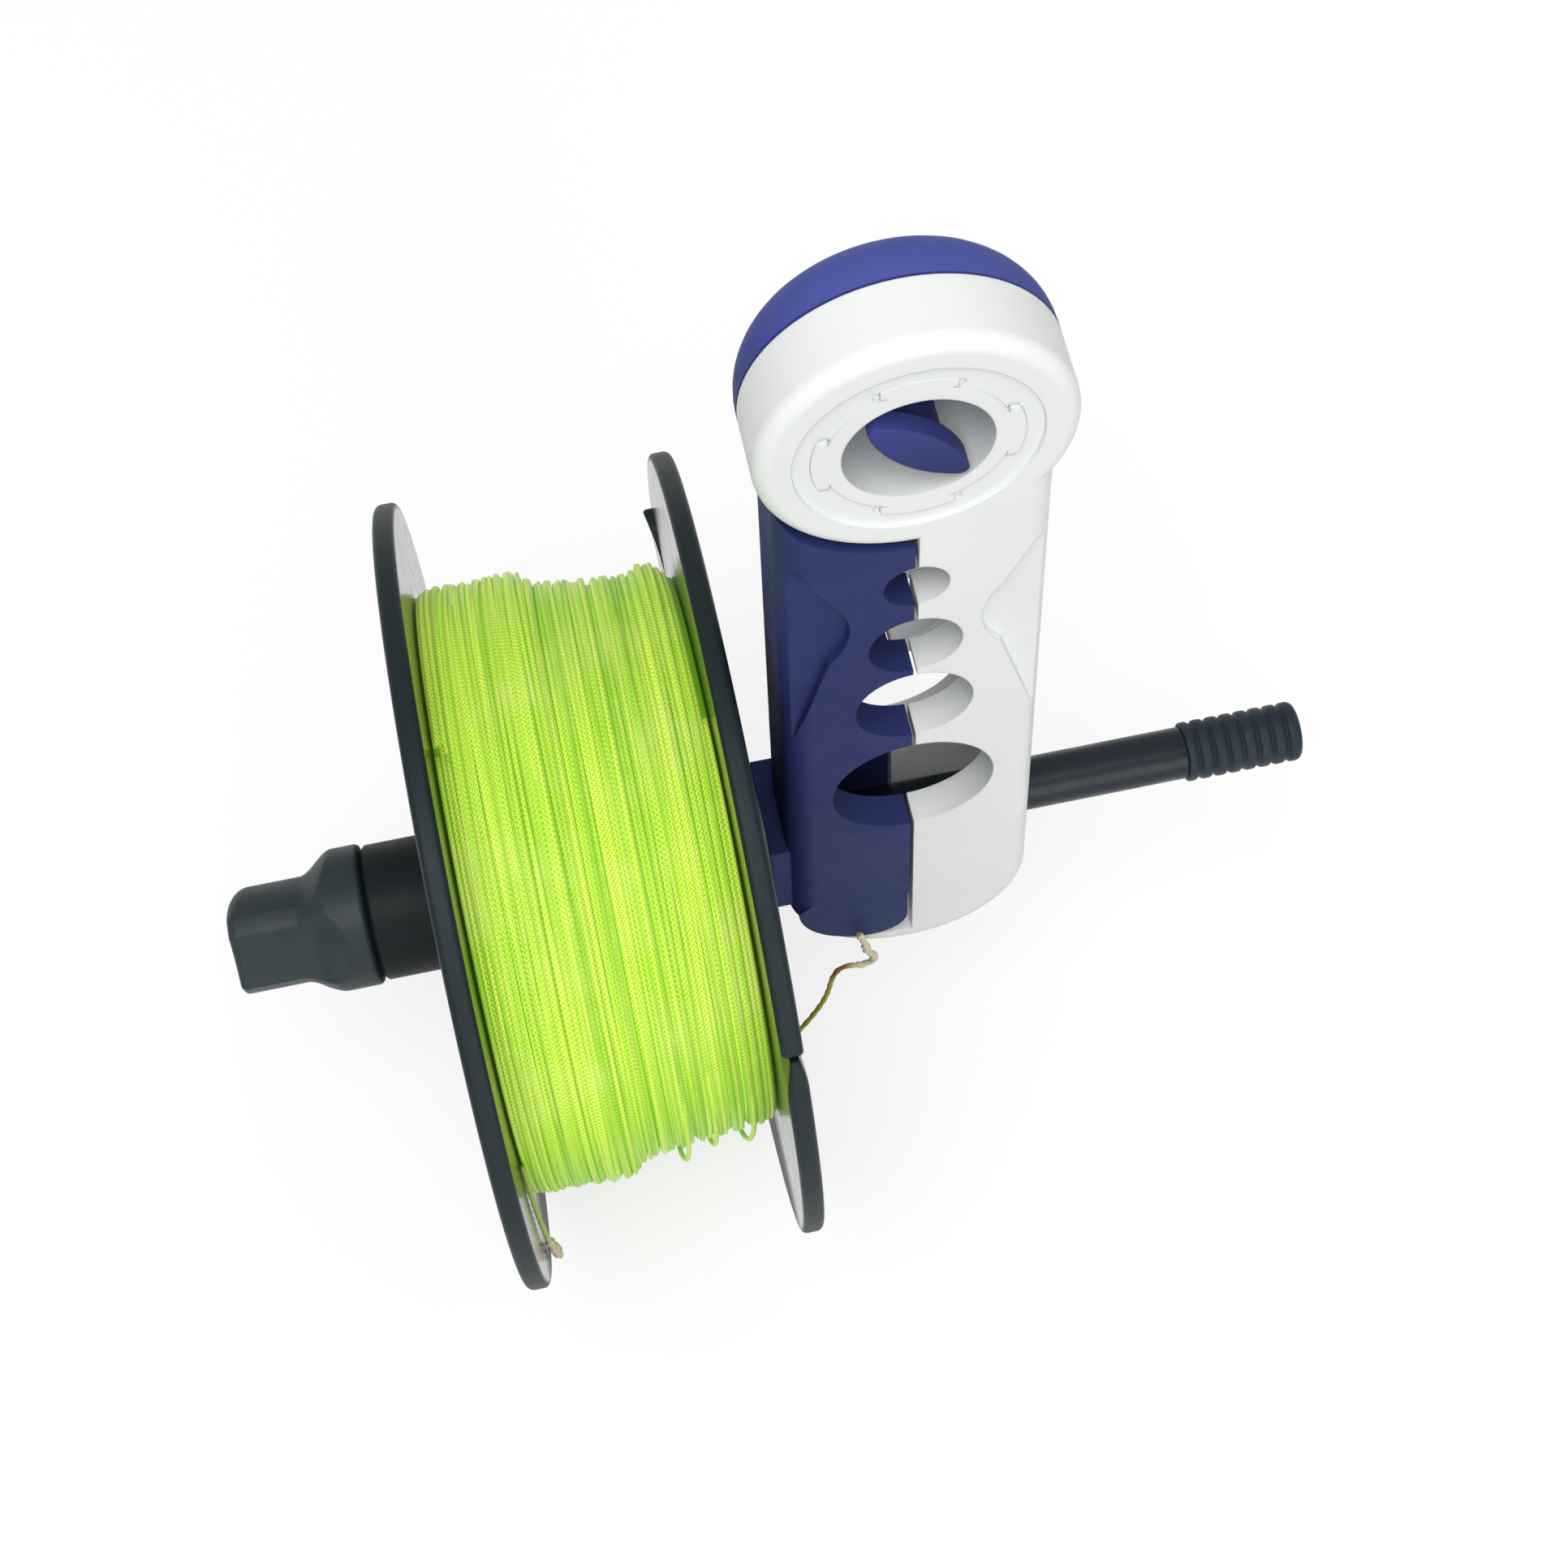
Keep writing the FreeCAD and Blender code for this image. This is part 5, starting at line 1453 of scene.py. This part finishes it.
@dataclass(frozen=True)
class Scoop:
    """Finger scoop of the knob: middle and half width in degrees, floor, start and round in millimetres."""

    middle: float
    half: float
    floor: float
    start: float
    end_round: float


@dataclass
class TensionSet(SubAssembly):
    """Slip washer, sculpted knob and its threaded insert."""

    finishes: ClassVar[dict[str, str]] = {"spring_washer": "spring_steel", "knob_insert": "brass_insert"}
    end: float = low_corner("tension_knob")[0]
    spigot_end: float = high_corner("tension_knob")[0]
    base_radius: float = high_corner("tension_knob")[1]
    insert_end: float = low_corner("knob_insert")[0]
    insert_radius: float = high_corner("knob_insert")[1] + 0.02 * MM
    spigot_length: float = 0.8 * MM
    spigot_radius: float = 5.7 * MM
    end_wall: float = 1.8 * MM
    bore_radius: float = 3.12 * MM
    base_length: float = 4.3 * MM
    base_edge: float = 0.7 * MM
    shoulder_length: float = 4.2 * MM
    grip_radius: float = 7.1 * MM
    grip_edge: float = 0.6
    scoop_climb: float = 4.4 * MM
    scoop_power: float = 2.7
    scoops: tuple[Scoop, ...] = (
        Scoop(61.0, 66.0, 6.0, 3.3, 2.6),
        Scoop(-54.0, 29.0, 6.15, 2.4, 0.9),
        Scoop(-117.0, 33.0, 6.6, 4.6, 0.5),
        Scoop(-180.0, 31.0, 6.2, 3.0, 0.6),
    )
    steps: int = 300
    fine_from: float = 0.8
    cap_rings: tuple[float, ...] = (0.85, 0.6, 0.3, 0.00001)

    @property
    def face(self) -> float:
        """Face of the knob towards the cup."""
        return self.spigot_end - self.spigot_length

    def envelope(self, x: np.ndarray) -> np.ndarray:
        """Outer radius: a base ring with soft edges, then a smooth fall to the grip.

        Args:
            x: array (n,) of places along the spindle in metres.

        Returns:
            Array (n,) in metres.
        """
        reach = self.face - x
        fall = smooth_step((reach - self.base_length) / self.shoulder_length)
        radius = self.base_radius + (self.grip_radius - self.base_radius) * fall
        return radius - self.base_edge * quarter_round(1.0 - reach / self.base_edge)

    def outer_skin(self, x: np.ndarray) -> np.ndarray:
        """Radius at each place and angle: the envelope cut by the finger scoops, with a rounded far end.

        A scoop's radius is its floor plus a power of the angle from its middle, and its floor climbs to the
        base ring as a smooth step. The far end is a quarter round whose size blends between the scoops.

        Args:
            x: array (n,) of places along the spindle in metres, from the face to the far end.

        Returns:
            Array (n, steps) in metres.
        """
        angle = np.linspace(0.0, TURN, self.steps, endpoint=False)[None, :]
        reach = (self.face - x)[:, None]
        outer = np.broadcast_to(self.envelope(x)[:, None], (x.size, self.steps))
        rounding = np.full((1, self.steps), self.grip_edge * MM)
        for scoop in self.scoops:
            off = turn_from(angle, np.radians(scoop.middle)) / np.radians(scoop.half)
            floor = scoop.floor * MM
            climb = smooth_step(1.0 - (reach - scoop.start * MM) / self.scoop_climb)
            low = floor + (self.base_radius - floor) * climb
            outer = np.minimum(outer, low + (self.grip_radius - floor) * np.abs(off) ** self.scoop_power)
            rounding = rounding + (scoop.end_round - self.grip_edge) * MM * bell(off)
        return outer - rounding * quarter_round(1.0 - (x[:, None] - self.end) / rounding)

    def knob(self) -> Piece:
        """Knob: the outer skin, a flat far end and a stepped bore."""
        coarse, fine = np.linspace(0.0, self.fine_from, 90), np.linspace(self.fine_from, 1.0, 50)
        share = np.concatenate([coarse, fine[1:]])
        x = self.face + (self.end - self.face) * share
        outer = self.outer_skin(x)
        cap = np.concatenate([outer[-1:] * part for part in self.cap_rings])
        bore_end = self.end + self.end_wall
        bore = np.array(
            [
                [bore_end, POLE], [bore_end, self.bore_radius], [self.insert_end, self.bore_radius],
                [self.insert_end, self.insert_radius], [self.spigot_end, self.insert_radius],
                [self.spigot_end, self.spigot_radius], [self.face, self.spigot_radius],
            ]
        )
        rows = np.concatenate([x, np.full(len(cap), self.end), bore[:, 0]])
        radius = np.concatenate([outer, cap, np.repeat(bore[:, 1, None], self.steps, axis=1)])
        return turned_skin("grip_knob", rows, radius)

    def build(self) -> None:
        """Dresses the small parts and makes the knob."""
        super().build()
        dress_piece(self.knob(), "black_plastic", "knob", "tension_knob", finish="black_knob")


def main() -> None:
    """Builds the studio, the line ends and each sub-assembly in order."""
    logging.basicConfig(level=logging.INFO, format="%(message)s")
    studio = Studio()
    studio.set_view()
    studio.place_camera()
    for line_end in (
        LineEnd(
            "line_end_slit", "line_end_right", RIGHT_ROUTE, length=0.0430, finish="olive_line",
            worn_length=11 * MM, worn_swell=0.4 * MM, worn_knot=3.4 * MM,
        ),
        LineEnd(
            "line_end_flange", "line_end_left", LEFT_ROUTE, length=0.0309, finish="tail_line",
            worn_length=9 * MM, worn_swell=0.7 * MM, worn_knot=2.4 * MM,
        ),
    ):
        line_end.build("line")
    studio.lay_floor()
    studio.light()
    for part in (Clamp(), WhiteHalf(), Spindle(), Spool(), TensionSet()):
        part.build()
        LOG.info("%s built", type(part).__name__)


if __name__ == "__main__":
    main()
